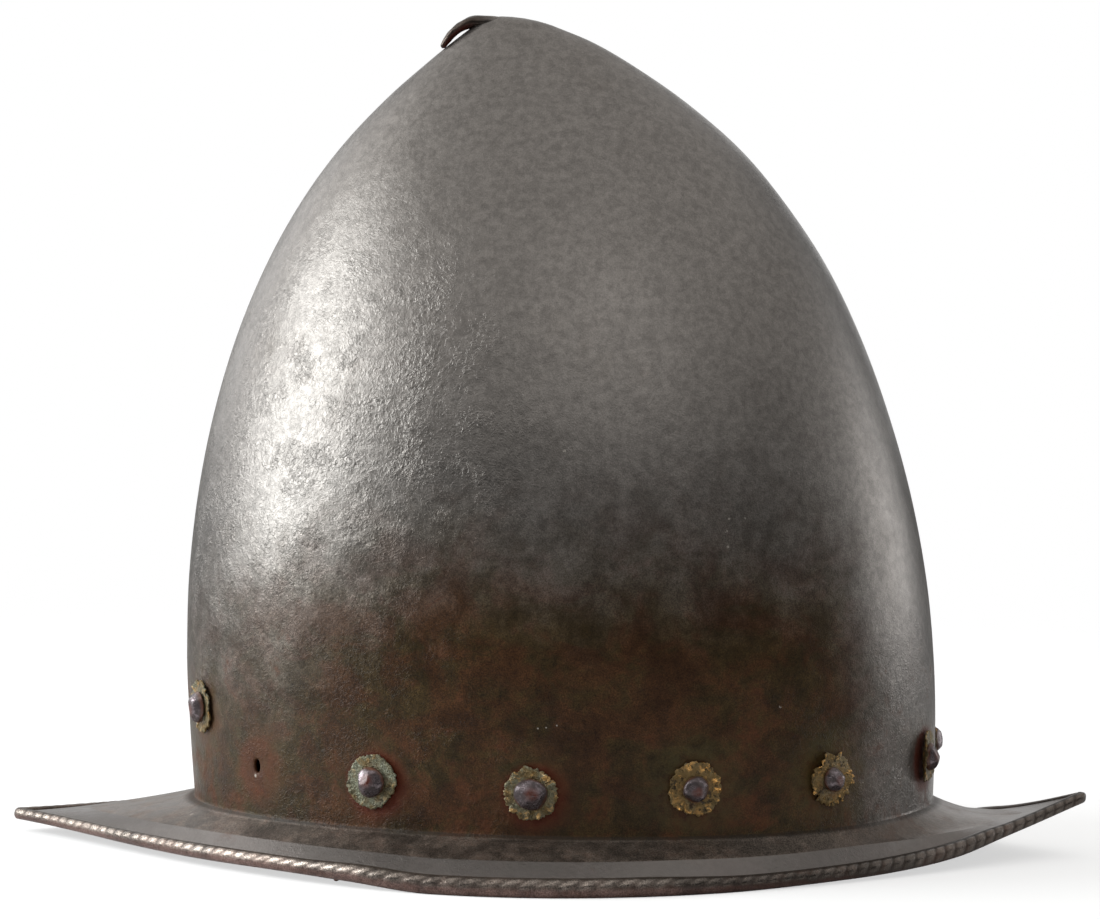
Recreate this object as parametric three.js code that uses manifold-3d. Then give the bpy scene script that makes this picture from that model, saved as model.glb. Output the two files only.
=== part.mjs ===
// A one-piece iron helmet of the morion family, tall and pointed, with a narrow roped brim.
// Millimetres, +Z up, +X to the front, and the brim resting on Z = 0.
import * as THREE from "three";
import { mergeVertices } from "three/addons/utils/BufferGeometryUtils.js";
import Module from "manifold-3d";

// Driving dimensions of the forged skull
const WALL = 1.2;
const BRIM_HALF_LENGTH = 171.5;
const BRIM_HALF_WIDTH = 119.5;
const BRIM_TIP_ROUND = 10;
const BRIM_TIP_DRAW = 2.7;
const BRIM_SWEEP = THREE.MathUtils.degToRad(9.5);
const BRIM_FRONT_DIP = 6.0;
const BRIM_REAR_DIP = 1.2;
const DIP_DRAW = 6;
const BASE_FRONT_RISE = 1.6;
const BASE_REAR_RISE = -0.8;
const BASE_RISE_FADE = 30;
const BASE_FRONT_DRAW = 6;
const BASE_REAR_DRAW = 4;
const BORDER_FLATTENING = 1.25;
const SHEET_SHARE = 0.6;
const APEX = { along: -17, height: 265.3 };
const INNER_APEX = { along: -17, height: 257.5 };
const INNER_TOP = 250;

// Sections of the bowl, from the brim up: where each oval starts and ends along X, and half its width
const BOWL_SECTIONS = [
  { height: 15.5, rear: -113.2, front: 124.3, half: 95.2, keel: 1.0 },
  { height: 37, rear: -114.9, front: 124.7, half: 95.9, keel: 1.0 },
  { height: 61, rear: -116.1, front: 123.9, half: 96.0, keel: 1.0 },
  { height: 86, rear: -115.6, front: 121.3, half: 94.4, keel: 1.0 },
  { height: 113, rear: -112.8, front: 116.0, half: 90.2, keel: 1.01 },
  { height: 139, rear: -107.8, front: 108.5, half: 83.6, keel: 1.02 },
  { height: 164, rear: -100.5, front: 99.1, half: 74.4, keel: 1.03 },
  { height: 187, rear: -91.0, front: 87.7, half: 63.2, keel: 1.05 },
  { height: 207, rear: -79.9, front: 74.1, half: 51.0, keel: 1.07 },
  { height: 224, rear: -67.5, front: 59.5, half: 39.0, keel: 1.09 },
  { height: 239, rear: -53.5, front: 41.6, half: 27.0, keel: 1.11 },
  { height: 250, rear: -41.2, front: 25.2, half: 17.0, keel: 1.13 },
  { height: 257.5, rear: -32.2, front: 11.8, half: 9.8, keel: 1.14 },
  { height: 262.6, rear: -25.6, front: -1.0, half: 4.8, keel: 1.15 },
];

// Height of the border's underside at places along the helmet, from the rear tip to the front tip
const BORDER_FEET = [
  { along: -172, foot: 3.9 },
  { along: -150, foot: 3.3 },
  { along: -128, foot: 2.6 },
  { along: -104, foot: 2.3 },
  { along: -78, foot: 2.5 },
  { along: -50, foot: 1.8 },
  { along: -24, foot: 0 },
  { along: 60, foot: 0 },
  { along: 90, foot: 0.7 },
  { along: 114, foot: 1.8 },
  { along: 132, foot: 4.2 },
  { along: 146, foot: 8.5 },
  { along: 158, foot: 12.4 },
  { along: 172, foot: 17.4 },
];

// Radius of the border's rolled edge along the helmet, thick in the middle and thin at the tips
const BORDER_RADII = [
  { along: -172, radius: 1.85 },
  { along: -145, radius: 1.95 },
  { along: -120, radius: 2.2 },
  { along: -98, radius: 2.35 },
  { along: -66, radius: 2.4 },
  { along: -50, radius: 2.8 },
  { along: -34, radius: 3.0 },
  { along: 40, radius: 3.05 },
  { along: 55, radius: 2.8 },
  { along: 70, radius: 2.5 },
  { along: 90, radius: 2.4 },
  { along: 125, radius: 2.5 },
  { along: 139, radius: 2.4 },
  { along: 150, radius: 1.9 },
  { along: 172, radius: 1.8 },
];

// The brim's slope: how far it has fallen at each fraction of the way from the bowl to the border
const BRIM_SLOPE = [
  { out: 0, fall: 0 },
  { out: 0.03, fall: 0.085 },
  { out: 0.09, fall: 0.17 },
  { out: 0.27, fall: 0.35 },
  { out: 0.45, fall: 0.52 },
  { out: 0.62, fall: 0.68 },
  { out: 1, fall: 1 },
];

// The crease along the brim: where it lies, and how far it stands above the slope round each side
const CREASE_OUT = 0.62;
const CREASE_LIFTS = [
  { degrees: 0, lift: 0 },
  { degrees: 20, lift: 1.0 },
  { degrees: 40, lift: 3.0 },
  { degrees: 50, lift: 2.4 },
  { degrees: 60, lift: 2.2 },
  { degrees: 75, lift: 1.85 },
  { degrees: 100, lift: 1.75 },
  { degrees: 115, lift: 1.15 },
  { degrees: 135, lift: 1.3 },
  { degrees: 160, lift: 0.6 },
  { degrees: 180, lift: 0 },
];

// The short hooked stalk at the apex: its middle line, its thickness and its width
const STALK_SECTIONS = [
  { along: -12, height: 260.8, thick: 3.4, wide: 5.8 },
  { along: -18.5, height: 263.4, thick: 4.2, wide: 5.7 },
  { along: -25, height: 263.6, thick: 4.2, wide: 5.4 },
  { along: -29.6, height: 262.2, thick: 3.6, wide: 5.0 },
  { along: -32.9, height: 259.7, thick: 3.0, wide: 4.4 },
  { along: -34.9, height: 257.2, thick: 2.6, wide: 3.8 },
  { along: -36.3, height: 254.9, thick: 2.0, wide: 3.0 },
];

// Places of the rivet row: degrees from the front, to the wearer's right below 0, and lift above the brim
const RIVET_ROW = [
  { name: "right_1", degrees: -13, lift: 17.8 },
  { name: "right_2", degrees: -42.3, lift: 15.6 },
  { name: "right_3", degrees: -66.3, lift: 14.6 },
  { name: "right_4", degrees: -90.6, lift: 12.9 },
  { name: "right_5", degrees: -115.2, lift: 14.4 },
  { name: "right_6", degrees: -139, lift: 15.3, empty: true },
  { name: "right_7", degrees: -156.8, lift: 30.8 },
  { name: "left_1", degrees: 13, lift: 17.8 },
  { name: "left_2", degrees: 42.3, lift: 15.6 },
  { name: "left_3", degrees: 66.3, lift: 14.6 },
  { name: "left_4", degrees: 90.6, lift: 12.9 },
  { name: "left_5", degrees: 115.2, lift: 14.4 },
  { name: "left_6", degrees: 139, lift: 15.3 },
  { name: "left_7", degrees: 164, lift: 16.5 },
];

// Rivets and rosette washers
const SHANK_RADIUS = 1.6;
const SHANK_HOLE_RADIUS = 1.95;
const HOLE_DEPTH = 8;
const FIT_GAP = 0.3;
const SEAT_SAG = 0.1;
const PEEN_SAG = 0.15;
const HEAD_RADIUS = 5.2;
const HEAD_HEIGHT = 3.4;
const PEEN_RADIUS = 3;
const PEEN_HEIGHT = 1.2;
const ROSETTE_RADIUS = 9;
const ROSETTE_NOTCH = 0.9;
const ROSETTE_LOBES = 11;
const ROSETTE_THICKNESS = 0.8;

// The scrap of leather thong left under the right side of the brim
const THONG_BEARING = THREE.MathUtils.degToRad(-117.3);
const THONG = { inset: 4.6, wide: 2.2, thick: 1.2, foot: 0.4, top: 4.2 };

// Facets
const AROUND = 68;
const TALLEST_BAND = 24;
const STALK_SIDES = 10;
const BORDER_STEPS = 7;
const ROUND_SIDES = 10;

// Smooth value of a table's column at a place along it, through every row and level at each turning row
function curveThrough(rows, across, column, place) {
  const last = rows.length - 1;
  if (place <= rows[0][across]) return rows[0][column];
  if (place >= rows[last][across]) return rows[last][column];
  let i = 0;
  while (rows[i + 1][across] < place) i++;
  const slope = (k) => {
    const a = rows[Math.max(k - 1, 0)];
    const b = rows[Math.min(k + 1, last)];
    const on = b[column] - rows[k][column];
    const back = rows[k][column] - a[column];
    const turning = k > 0 && k < last && on * back <= 0;
    return turning ? 0 : (b[column] - a[column]) / (b[across] - a[across]);
  };
  const span = rows[i + 1][across] - rows[i][across];
  const f = (place - rows[i][across]) / span;
  const rise = 1 - f;
  return (
    rise * rise * (1 + 2 * f) * rows[i][column] +
    f * f * (3 - 2 * f) * rows[i + 1][column] +
    f * rise * rise * span * slope(i) -
    f * f * rise * span * slope(i + 1)
  );
}

// How much a low section is lifted towards the front and the rear
function baseRise(bearing, height) {
  const c = Math.cos(bearing);
  const rise = c > 0 ? BASE_FRONT_RISE * c ** BASE_FRONT_DRAW : BASE_REAR_RISE * c ** BASE_REAR_DRAW;
  const up = (height - BOWL_SECTIONS[0].height) / BASE_RISE_FADE;
  return rise * Math.max(0, 1 - up) ** 2;
}

// A point of the bowl's outside: bearing is 0 at the front and turns to the wearer's left
function bowlPoint(bearing, height) {
  const at = (column) => curveThrough(BOWL_SECTIONS, "height", column, height);
  const middle = (at("front") + at("rear")) / 2;
  const reach = (at("front") - at("rear")) / 2;
  const s = Math.sin(bearing);
  return new THREE.Vector3(
    middle + reach * Math.cos(bearing),
    at("half") * Math.sign(s) * Math.abs(s) ** at("keel"),
    height + baseRise(bearing, height),
  );
}

// The outward direction of the bowl's outside
function bowlNormal(bearing, height) {
  const step = 0.01;
  const round = bowlPoint(bearing + step, height).sub(bowlPoint(bearing - step, height));
  const up = bowlPoint(bearing, height + 1).sub(bowlPoint(bearing, height));
  return round.cross(up).normalize();
}

// The turn round the border's long oval that belongs to a bearing
function borderTurn(bearing) {
  return bearing + BRIM_SWEEP * Math.sin(2 * bearing);
}

function borderAlong(bearing) {
  return BRIM_HALF_LENGTH * Math.cos(borderTurn(bearing));
}

// The border's middle line in plan: a long oval drawn out to two blunt tips
function borderPoint(bearing) {
  const s = Math.sin(borderTurn(bearing));
  const side = Math.abs(s);
  const out = (BRIM_HALF_WIDTH - BRIM_TIP_ROUND) * side ** BRIM_TIP_DRAW + BRIM_TIP_ROUND * side;
  const along = borderAlong(bearing);
  const foot = curveThrough(BORDER_FEET, "along", "foot", along);
  return new THREE.Vector3(along, Math.sign(s) * out, foot + borderRadius(bearing));
}

function borderRadius(bearing) {
  return curveThrough(BORDER_RADII, "along", "radius", borderAlong(bearing));
}

// The level direction out of the border
function borderOutward(bearing) {
  const step = 0.004;
  const along = borderPoint(bearing + step).sub(borderPoint(bearing - step));
  return new THREE.Vector3(along.y, -along.x, 0).normalize();
}

// A point round the border's bead: turn 0 is level inwards and a quarter turn is on top.
// The underside is hammered flat, so that the helmet rests on it.
function beadPoint(bearing, turn) {
  const radius = borderRadius(bearing);
  const rise = Math.max(-1, Math.sin(turn) * (Math.sin(turn) < 0 ? BORDER_FLATTENING : 1));
  return borderPoint(bearing)
    .addScaledVector(borderOutward(bearing), -radius * Math.cos(turn))
    .add(new THREE.Vector3(0, 0, radius * rise));
}

// The turn of the bead at which the brim's sheet runs into it
function sheetTurn(bearing) {
  return Math.asin((WALL * SHEET_SHARE) / borderRadius(bearing));
}

// How far the brim is lifted along its crease at a bearing
function creaseLift(bearing, out) {
  const turned = Math.abs(THREE.MathUtils.radToDeg(bearing)) % 360;
  const degrees = turned > 180 ? 360 - turned : turned;
  const share = Math.min(out / CREASE_OUT, (1 - out) / (1 - CREASE_OUT));
  return curveThrough(CREASE_LIFTS, "degrees", "lift", degrees) * share;
}

// A point of the brim's upper side, from the bowl (0) to the border (1)
function brimPoint(bearing, out) {
  const inner = bowlPoint(bearing, BOWL_SECTIONS[0].height);
  const outer = beadPoint(bearing, sheetTurn(bearing));
  const fall = curveThrough(BRIM_SLOPE, "out", "fall", out);
  const c = Math.cos(bearing);
  const dip = (c > 0 ? BRIM_FRONT_DIP : BRIM_REAR_DIP) * c ** DIP_DRAW;
  return new THREE.Vector3(
    THREE.MathUtils.lerp(inner.x, outer.x, out),
    THREE.MathUtils.lerp(inner.y, outer.y, out),
    THREE.MathUtils.lerp(inner.z, outer.z, fall) - dip * 4 * out * (1 - out) + creaseLift(bearing, out),
  );
}

// The bearings of one ring of vertices
function bearings() {
  return Array.from({ length: AROUND }, (_, i) => (i * 2 * Math.PI) / AROUND);
}

// A closed body through rings of equal count, closed at each end by a point
function closedBody(start, rings, end) {
  const count = rings[0].length;
  const points = [start, ...rings.flat(), end];
  const last = points.length - 1;
  const faces = [];
  const at = (ring, i) => 1 + ring * count + (i % count);
  for (let i = 0; i < count; i++) {
    faces.push(0, at(0, i), at(0, i + 1));
    for (let ring = 0; ring + 1 < rings.length; ring++) {
      faces.push(at(ring, i), at(ring + 1, i), at(ring, i + 1));
      faces.push(at(ring, i + 1), at(ring + 1, i), at(ring + 1, i + 1));
    }
    faces.push(last, at(rings.length - 1, i + 1), at(rings.length - 1, i));
  }
  const geometry = new THREE.BufferGeometry().setFromPoints(points);
  geometry.setIndex(faces);
  return geometry;
}

// The inside of the sheet: each point of the outer rings moved inwards by the wall
function innerRings(outer) {
  const count = outer[0].length;
  return outer.map((ring, j) =>
    ring.map((point, i) => {
      const above = outer[Math.max(j - 1, 0)][i];
      const below = outer[Math.min(j + 1, outer.length - 1)][i];
      const round = ring[(i + 1) % count].clone().sub(ring[(i + count - 1) % count]);
      const normal = round.cross(above.clone().sub(below)).normalize();
      return point.clone().addScaledVector(normal, -WALL);
    }),
  );
}

// The forged sheet: bowl, brim and turned border in one
function sheetGeometry() {
  const heights = BOWL_SECTIONS.flatMap((row, i) => {
    const next = BOWL_SECTIONS[i + 1];
    const tall = next && next.height - row.height > TALLEST_BAND;
    return tall ? [row.height, (row.height + next.height) / 2] : [row.height];
  });
  const crown = new THREE.Vector3(APEX.along, 0, APEX.height);
  const innerCrown = new THREE.Vector3(INNER_APEX.along, 0, INNER_APEX.height);
  const falling = heights.slice(1).reverse();
  const bowl = falling.map((height) => bearings().map((b) => bowlPoint(b, height)));
  const slope = BRIM_SLOPE.map((row) => bearings().map((b) => brimPoint(b, row.out)));
  const bead = Array.from({ length: BORDER_STEPS }, (_, i) =>
    bearings().map((b) => {
      const start = sheetTurn(b);
      const step = (2 * Math.PI - 2 * start) / (BORDER_STEPS - 1);
      return beadPoint(b, start + i * step);
    }),
  );
  const outer = [...bowl, ...slope];
  const skipped = falling.filter((height) => height > INNER_TOP).length;
  const inner = innerRings(outer).slice(skipped, -1).reverse();
  return closedBody(crown, [...outer, ...bead.slice(1), ...inner], innerCrown);
}

// The stalk, hooked back and down over the rear of the apex
function stalkGeometry() {
  const rows = STALK_SECTIONS;
  const spot = (row) => new THREE.Vector3(row.along, 0, row.height);
  const rings = rows.map((row, i) => {
    const along = spot(rows[Math.min(i + 1, rows.length - 1)]).sub(spot(rows[Math.max(i - 1, 0)]));
    const up = new THREE.Vector3(along.z, 0, -along.x).normalize();
    return Array.from({ length: STALK_SIDES }, (_, k) => {
      const turn = (k * 2 * Math.PI) / STALK_SIDES;
      return spot(row)
        .addScaledVector(up, (row.thick / 2) * Math.sin(turn))
        .add(new THREE.Vector3(0, (row.wide / 2) * Math.cos(turn), 0));
    });
  });
  return closedBody(spot(rows[0]), rings, spot(rows[rows.length - 1]));
}

// The rivet row's places as bearings and heights on the bowl
function rivetPlaces() {
  return RIVET_ROW.map((row) => ({
    name: row.name,
    bearing: THREE.MathUtils.degToRad(row.degrees),
    height: BOWL_SECTIONS[0].height + row.lift,
    empty: Boolean(row.empty),
  }));
}

// Turns a piece made along +Z to stand on the bowl at one place of the row
function standOnBowl(object, place) {
  const normal = bowlNormal(place.bearing, place.height);
  const spot = bowlPoint(place.bearing, place.height);
  const level = new THREE.Vector3(0, 0, 1).cross(normal).normalize();
  const up = normal.clone().cross(level);
  object.quaternion.setFromRotationMatrix(new THREE.Matrix4().makeBasis(level, up, normal));
  object.position.copy(spot);
  return object;
}

// A rivet: domed head outside, shank through the wall, hammered end inside
function rivetGeometry() {
  const seat = 2 * FIT_GAP + ROSETTE_THICKNESS + SEAT_SAG;
  const inside = -WALL - FIT_GAP - PEEN_SAG;
  const profile = [
    [0, inside - PEEN_HEIGHT],
    [PEEN_RADIUS * 0.7, inside - PEEN_HEIGHT],
    [PEEN_RADIUS, inside],
    [SHANK_RADIUS, inside],
    [SHANK_RADIUS, seat],
    [HEAD_RADIUS, seat],
    [HEAD_RADIUS * 0.93, seat + HEAD_HEIGHT * 0.45],
    [HEAD_RADIUS * 0.62, seat + HEAD_HEIGHT * 0.86],
    [0, seat + HEAD_HEIGHT],
  ].map(([x, y]) => new THREE.Vector2(x, y));
  return new THREE.LatheGeometry(profile, ROUND_SIDES).rotateX(Math.PI / 2);
}

// A thin washer cut to a rosette, with a hole for the shank
function rosetteGeometry() {
  const shape = new THREE.Shape(
    Array.from({ length: 2 * ROSETTE_LOBES }, (_, i) => {
      const radius = ROSETTE_RADIUS - (i % 2) * ROSETTE_NOTCH;
      const turn = (i * Math.PI) / ROSETTE_LOBES;
      return new THREE.Vector2(radius * Math.cos(turn), radius * Math.sin(turn));
    }),
  );
  const hole = Array.from({ length: ROUND_SIDES }, (_, i) => {
    const turn = (-i * 2 * Math.PI) / ROUND_SIDES;
    return new THREE.Vector2(
      (SHANK_HOLE_RADIUS + FIT_GAP) * Math.cos(turn),
      (SHANK_HOLE_RADIUS + FIT_GAP) * Math.sin(turn),
    );
  });
  shape.holes.push(new THREE.Path(hole));
  return new THREE.ExtrudeGeometry(shape, {
    depth: ROSETTE_THICKNESS,
    bevelEnabled: false,
  }).translate(0, 0, FIT_GAP + SEAT_SAG);
}

// Boolean work on closed bodies
const wasm = await Module();
wasm.setup();

function solidOf(geometry) {
  const bare = new THREE.BufferGeometry();
  bare.setAttribute("position", geometry.getAttribute("position"));
  bare.setIndex(geometry.index);
  const merged = mergeVertices(bare, 1e-4);
  return new wasm.Manifold(
    new wasm.Mesh({
      numProp: 3,
      vertProperties: new Float32Array(merged.getAttribute("position").array),
      triVerts: new Uint32Array(merged.index.array),
    }),
  );
}

function geometryOf(solid) {
  const mesh = solid.getMesh();
  const geometry = new THREE.BufferGeometry();
  geometry.setAttribute("position", new THREE.BufferAttribute(mesh.vertProperties, 3));
  geometry.setIndex(new THREE.BufferAttribute(mesh.triVerts, 1));
  return geometry;
}

// The drill that opens one rivet hole through the wall
function holeCutter(place) {
  const radius = SHANK_HOLE_RADIUS;
  const cutter = new THREE.CylinderGeometry(radius, radius, HOLE_DEPTH, ROUND_SIDES);
  const object = standOnBowl(new THREE.Object3D(), place);
  object.updateMatrix();
  return solidOf(cutter.rotateX(Math.PI / 2).applyMatrix4(object.matrix));
}

// The skull: sheet and stalk in one, with a hole at every place of the rivet row
function skullGeometry() {
  const forged = solidOf(sheetGeometry()).add(solidOf(stalkGeometry()));
  const drilled = rivetPlaces().reduce((solid, place) => solid.subtract(holeCutter(place)), forged);
  return geometryOf(drilled);
}

// The thong: a short flat scrap that hangs from the underside of the brim
function thongMesh() {
  const out = borderOutward(THONG_BEARING);
  const spot = borderPoint(THONG_BEARING).addScaledVector(out, -THONG.inset);
  const length = THONG.top - THONG.foot;
  const mesh = new THREE.Mesh(new THREE.BoxGeometry(THONG.wide, THONG.thick, length), leather);
  mesh.position.set(spot.x, spot.y, THONG.foot + length / 2);
  mesh.rotation.z = Math.atan2(out.y, out.x) + Math.PI / 2;
  return mesh;
}

// Finishes
const blackenedIron = new THREE.MeshStandardMaterial({ color: 0x51463d, roughness: 0.42, metalness: 0.85 });
const rivetIron = new THREE.MeshStandardMaterial({ color: 0x5f554e, roughness: 0.45, metalness: 0.8 });
const tarnishedBrass = new THREE.MeshStandardMaterial({ color: 0x7a6a44, roughness: 0.6, metalness: 0.6 });
const leather = new THREE.MeshStandardMaterial({ color: 0x8a4f2f, roughness: 0.85, metalness: 0 });

// The assembly
const helmet = new THREE.Group();

function addNamed(mesh, name) {
  mesh.name = name;
  helmet.add(mesh);
}

addNamed(new THREE.Mesh(skullGeometry(), blackenedIron), "skull");
for (const place of rivetPlaces()) {
  if (place.empty) continue;
  addNamed(standOnBowl(new THREE.Mesh(rivetGeometry(), rivetIron), place), `rivet_${place.name}`);
  addNamed(standOnBowl(new THREE.Mesh(rosetteGeometry(), tarnishedBrass), place), `rosette_${place.name}`);
}
addNamed(thongMesh(), "thong_scrap");

export default helmet;
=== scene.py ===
"""A tall pointed iron helmet of the morion family with a narrow roped brim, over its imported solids."""
import logging
import math
import random
from bisect import bisect_right
from collections.abc import Callable
from dataclasses import dataclass
from enum import Enum
from functools import cached_property, lru_cache, reduce

import bmesh
import bpy
from mathutils import Matrix, Vector, noise


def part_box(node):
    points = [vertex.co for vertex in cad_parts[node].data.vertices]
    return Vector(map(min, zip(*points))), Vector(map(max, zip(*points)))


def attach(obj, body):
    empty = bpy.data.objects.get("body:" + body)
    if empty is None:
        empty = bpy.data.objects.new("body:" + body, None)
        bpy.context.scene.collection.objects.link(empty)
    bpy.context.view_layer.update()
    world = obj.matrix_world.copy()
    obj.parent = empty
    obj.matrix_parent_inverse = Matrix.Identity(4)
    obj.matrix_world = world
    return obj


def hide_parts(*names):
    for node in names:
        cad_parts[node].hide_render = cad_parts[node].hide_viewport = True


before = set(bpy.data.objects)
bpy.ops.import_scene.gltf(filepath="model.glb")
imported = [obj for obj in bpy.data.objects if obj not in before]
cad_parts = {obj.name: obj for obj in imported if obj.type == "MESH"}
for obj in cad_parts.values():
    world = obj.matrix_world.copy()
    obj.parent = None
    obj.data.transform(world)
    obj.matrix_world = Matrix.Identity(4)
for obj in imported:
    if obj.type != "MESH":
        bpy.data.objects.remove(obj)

MM = 0.001
FULL_TURN = 2 * math.pi
Point = Vector
Ring = list[Vector]
Colour = tuple[float, float, float, float]
Takes = dict[int | str, object]


def eased(low: float, high: float, value: float) -> float:
    """Returns 0 below low, 1 above high, and a smooth rise between them."""
    share = min(1.0, max(0.0, (value - low) / (high - low)))
    return share * share * (3 - 2 * share)


def blended(first: float, second: float, share: float) -> float:
    """Returns the value at a share of the way from the first to the second."""
    return first + (second - first) * share


def rounded_end(share: float) -> float:
    """Returns how far a bar has opened at a share of the way over its round end."""
    return math.sqrt(max(0.0, 1 - (1 - min(1.0, share)) ** 2))


def seen_from(azimuth: float, elevation: float) -> Point:
    """Returns the direction out to a place, by its degrees round the helmet and above the floor."""
    az = math.radians(azimuth)
    el = math.radians(elevation)
    return Vector((math.sin(az) * math.cos(el), -math.cos(az) * math.cos(el), math.sin(el)))


@dataclass(frozen=True)
class SmoothLine:
    """A smooth line through measured values, level where the values turn back."""

    places: tuple[float, ...]
    values: tuple[float, ...]

    @cached_property
    def slopes(self) -> tuple[float, ...]:
        """The line's slope at each measured place."""
        last = len(self.places) - 1
        found = []
        for k in range(last + 1):
            before = max(k - 1, 0)
            after = min(k + 1, last)
            climb = self.values[after] - self.values[before]
            step_on = self.values[after] - self.values[k]
            step_up = self.values[k] - self.values[before]
            turning = 0 < k < last and step_on * step_up <= 0
            found.append(0.0 if turning else climb / (self.places[after] - self.places[before]))
        return tuple(found)

    def at(self, place: float) -> float:
        """Returns the value at a place, which is held within the measured places."""
        last = len(self.places) - 1
        if place <= self.places[0]:
            return self.values[0]
        if place >= self.places[last]:
            return self.values[last]
        k = min(bisect_right(self.places, place) - 1, last - 1)
        span = self.places[k + 1] - self.places[k]
        f = (place - self.places[k]) / span
        g = 1 - f
        ends = g * g * (1 + 2 * f) * self.values[k] + f * f * (3 - 2 * f) * self.values[k + 1]
        return ends + f * g * span * (g * self.slopes[k] - f * self.slopes[k + 1])


@dataclass(frozen=True)
class RivetPlace:
    """One place of the rivet row, by its bearing and its height on the bowl."""

    name: str
    bearing: float
    height: float
    empty: bool


@dataclass(frozen=True, eq=False)
class HelmetForm:
    """The helmet's form in millimetres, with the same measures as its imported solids.

    A bearing of 0 is the front, and it turns to the wearer's left.
    """

    wall: float = 1.2
    brim_half_length: float = 171.5
    brim_half_width: float = 119.5
    tip_round: float = 10.0
    tip_draw: float = 2.7
    sweep: float = math.radians(9.5)
    front_dip: float = 6.0
    rear_dip: float = 1.2
    front_rise: float = 1.6
    rear_rise: float = -0.8
    rise_fade: float = 30.0
    thick_bead: float = 3.05
    flattening: float = 1.25
    apex_along: float = -17.0
    cap_rise: float = 2.7
    inner_top: float = 250.0
    inner_apex: float = 257.5
    crease: float = 0.62
    heights: tuple[float, ...] = (15.5, 37, 61, 86, 113, 139, 164, 187, 207, 224, 239, 250, 257.5, 262.6)
    rear: SmoothLine = SmoothLine(heights, (
        -113.2, -114.9, -116.1, -115.6, -112.8, -107.8, -100.5,
        -91.0, -79.9, -67.5, -53.5, -41.2, -32.2, -25.6,
    ))
    front: SmoothLine = SmoothLine(heights, (
        124.3, 124.7, 123.9, 121.3, 116.0, 108.5, 99.1, 87.7, 74.1, 59.5, 41.6, 25.2, 11.8, -1.0,
    ))
    half: SmoothLine = SmoothLine(heights, (
        95.2, 95.9, 96.0, 94.4, 90.2, 83.6, 74.4, 63.2, 51.0, 39.0, 27.0, 17.0, 9.8, 4.8,
    ))
    keel: SmoothLine = SmoothLine(heights, (
        1.0, 1.0, 1.0, 1.0, 1.01, 1.02, 1.03, 1.05, 1.07, 1.09, 1.11, 1.13, 1.14, 1.15,
    ))
    foot: SmoothLine = SmoothLine(
        (-172, -150, -128, -104, -78, -50, -24, 60, 90, 114, 132, 146, 158, 172),
        (3.9, 3.3, 2.6, 2.3, 2.5, 1.8, 0, 0, 0.7, 1.8, 4.2, 8.5, 12.4, 17.4),
    )
    bead: SmoothLine = SmoothLine(
        (-172, -145, -120, -98, -66, -50, -34, 40, 55, 70, 90, 125, 139, 150, 172),
        (1.85, 1.95, 2.2, 2.35, 2.4, 2.8, 3.0, 3.05, 2.8, 2.5, 2.4, 2.5, 2.4, 1.9, 1.8),
    )
    lift: SmoothLine = SmoothLine(
        (0, 20, 40, 50, 60, 75, 100, 115, 135, 160, 180),
        (0, 1.0, 3.0, 2.4, 2.2, 1.85, 1.75, 1.15, 1.3, 0.6, 0),
    )
    slope: SmoothLine = SmoothLine((0, 0.03, 0.09, 0.27, 0.45, 0.62), (0, 0.085, 0.17, 0.35, 0.52, 0.68))
    shared_row: tuple[tuple[float, float], ...] = (
        (13, 17.8), (42.3, 15.6), (66.3, 14.6), (90.6, 12.9), (115.2, 14.4), (139, 15.3),
    )
    right_last: tuple[float, float] = (156.8, 30.8)
    left_last: tuple[float, float] = (164, 16.5)
    empty: str = "right_6"

    @property
    def base(self) -> float:
        """The height at which the bowl turns out into the brim."""
        return self.heights[0]

    @lru_cache(maxsize=None)
    def section(self, height: float) -> tuple[float, float, float, float]:
        """Returns the middle, the reach, the half width and the keel exponent of one level of the bowl."""
        rear = self.rear.at(height)
        front = self.front.at(height)
        return (front + rear) / 2, (front - rear) / 2, self.half.at(height), self.keel.at(height)

    def base_rise(self, bearing: float, height: float) -> float:
        """Returns how far a low level of the bowl is lifted at a bearing."""
        c = math.cos(bearing)
        rise = self.front_rise * c**6 if c > 0 else self.rear_rise * c**4
        return rise * max(0.0, 1 - (height - self.base) / self.rise_fade) ** 2

    def bowl_point(self, bearing: float, height: float) -> Point:
        """Returns a point of the bowl's outside."""
        middle, reach, half, keel = self.section(height)
        s = math.sin(bearing)
        across = math.copysign(half * abs(s) ** keel, s)
        return Vector((middle + reach * math.cos(bearing), across, height + self.base_rise(bearing, height)))

    def bowl_normal(self, bearing: float, height: float) -> Point:
        """Returns the outward direction of the bowl's outside."""
        step = 0.01
        around = self.bowl_point(bearing + step, height) - self.bowl_point(bearing - step, height)
        up = self.bowl_point(bearing, height + 1) - self.bowl_point(bearing, height)
        return around.cross(up).normalized()

    def cap_point(self, bearing: float, share: float) -> Point:
        """Returns a point of the small rounded cap over the highest level, at a share of the way out."""
        rim = self.bowl_point(bearing, self.heights[-1])
        along = blended(self.apex_along, rim.x, share)
        return Vector((along, rim.y * share, rim.z + self.cap_rise * (1 - share * share)))

    @lru_cache(maxsize=None)
    def bead_radius(self, bearing: float) -> float:
        """Returns the radius of the border's bead, which thins towards both tips."""
        return self.bead.at(self.brim_half_length * math.cos(self.border_turn(bearing)))

    def border_turn(self, bearing: float) -> float:
        """Returns the turn round the border's long oval that belongs to a bearing."""
        return bearing + self.sweep * math.sin(2 * bearing)

    @lru_cache(maxsize=None)
    def border_point(self, bearing: float) -> Point:
        """Returns a point of the border's middle line."""
        turn = self.border_turn(bearing)
        s = math.sin(turn)
        side = abs(s)
        out = (self.brim_half_width - self.tip_round) * side**self.tip_draw + self.tip_round * side
        along = self.brim_half_length * math.cos(turn)
        return Vector((along, math.copysign(out, s), self.foot.at(along) + self.bead_radius(bearing)))

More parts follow.
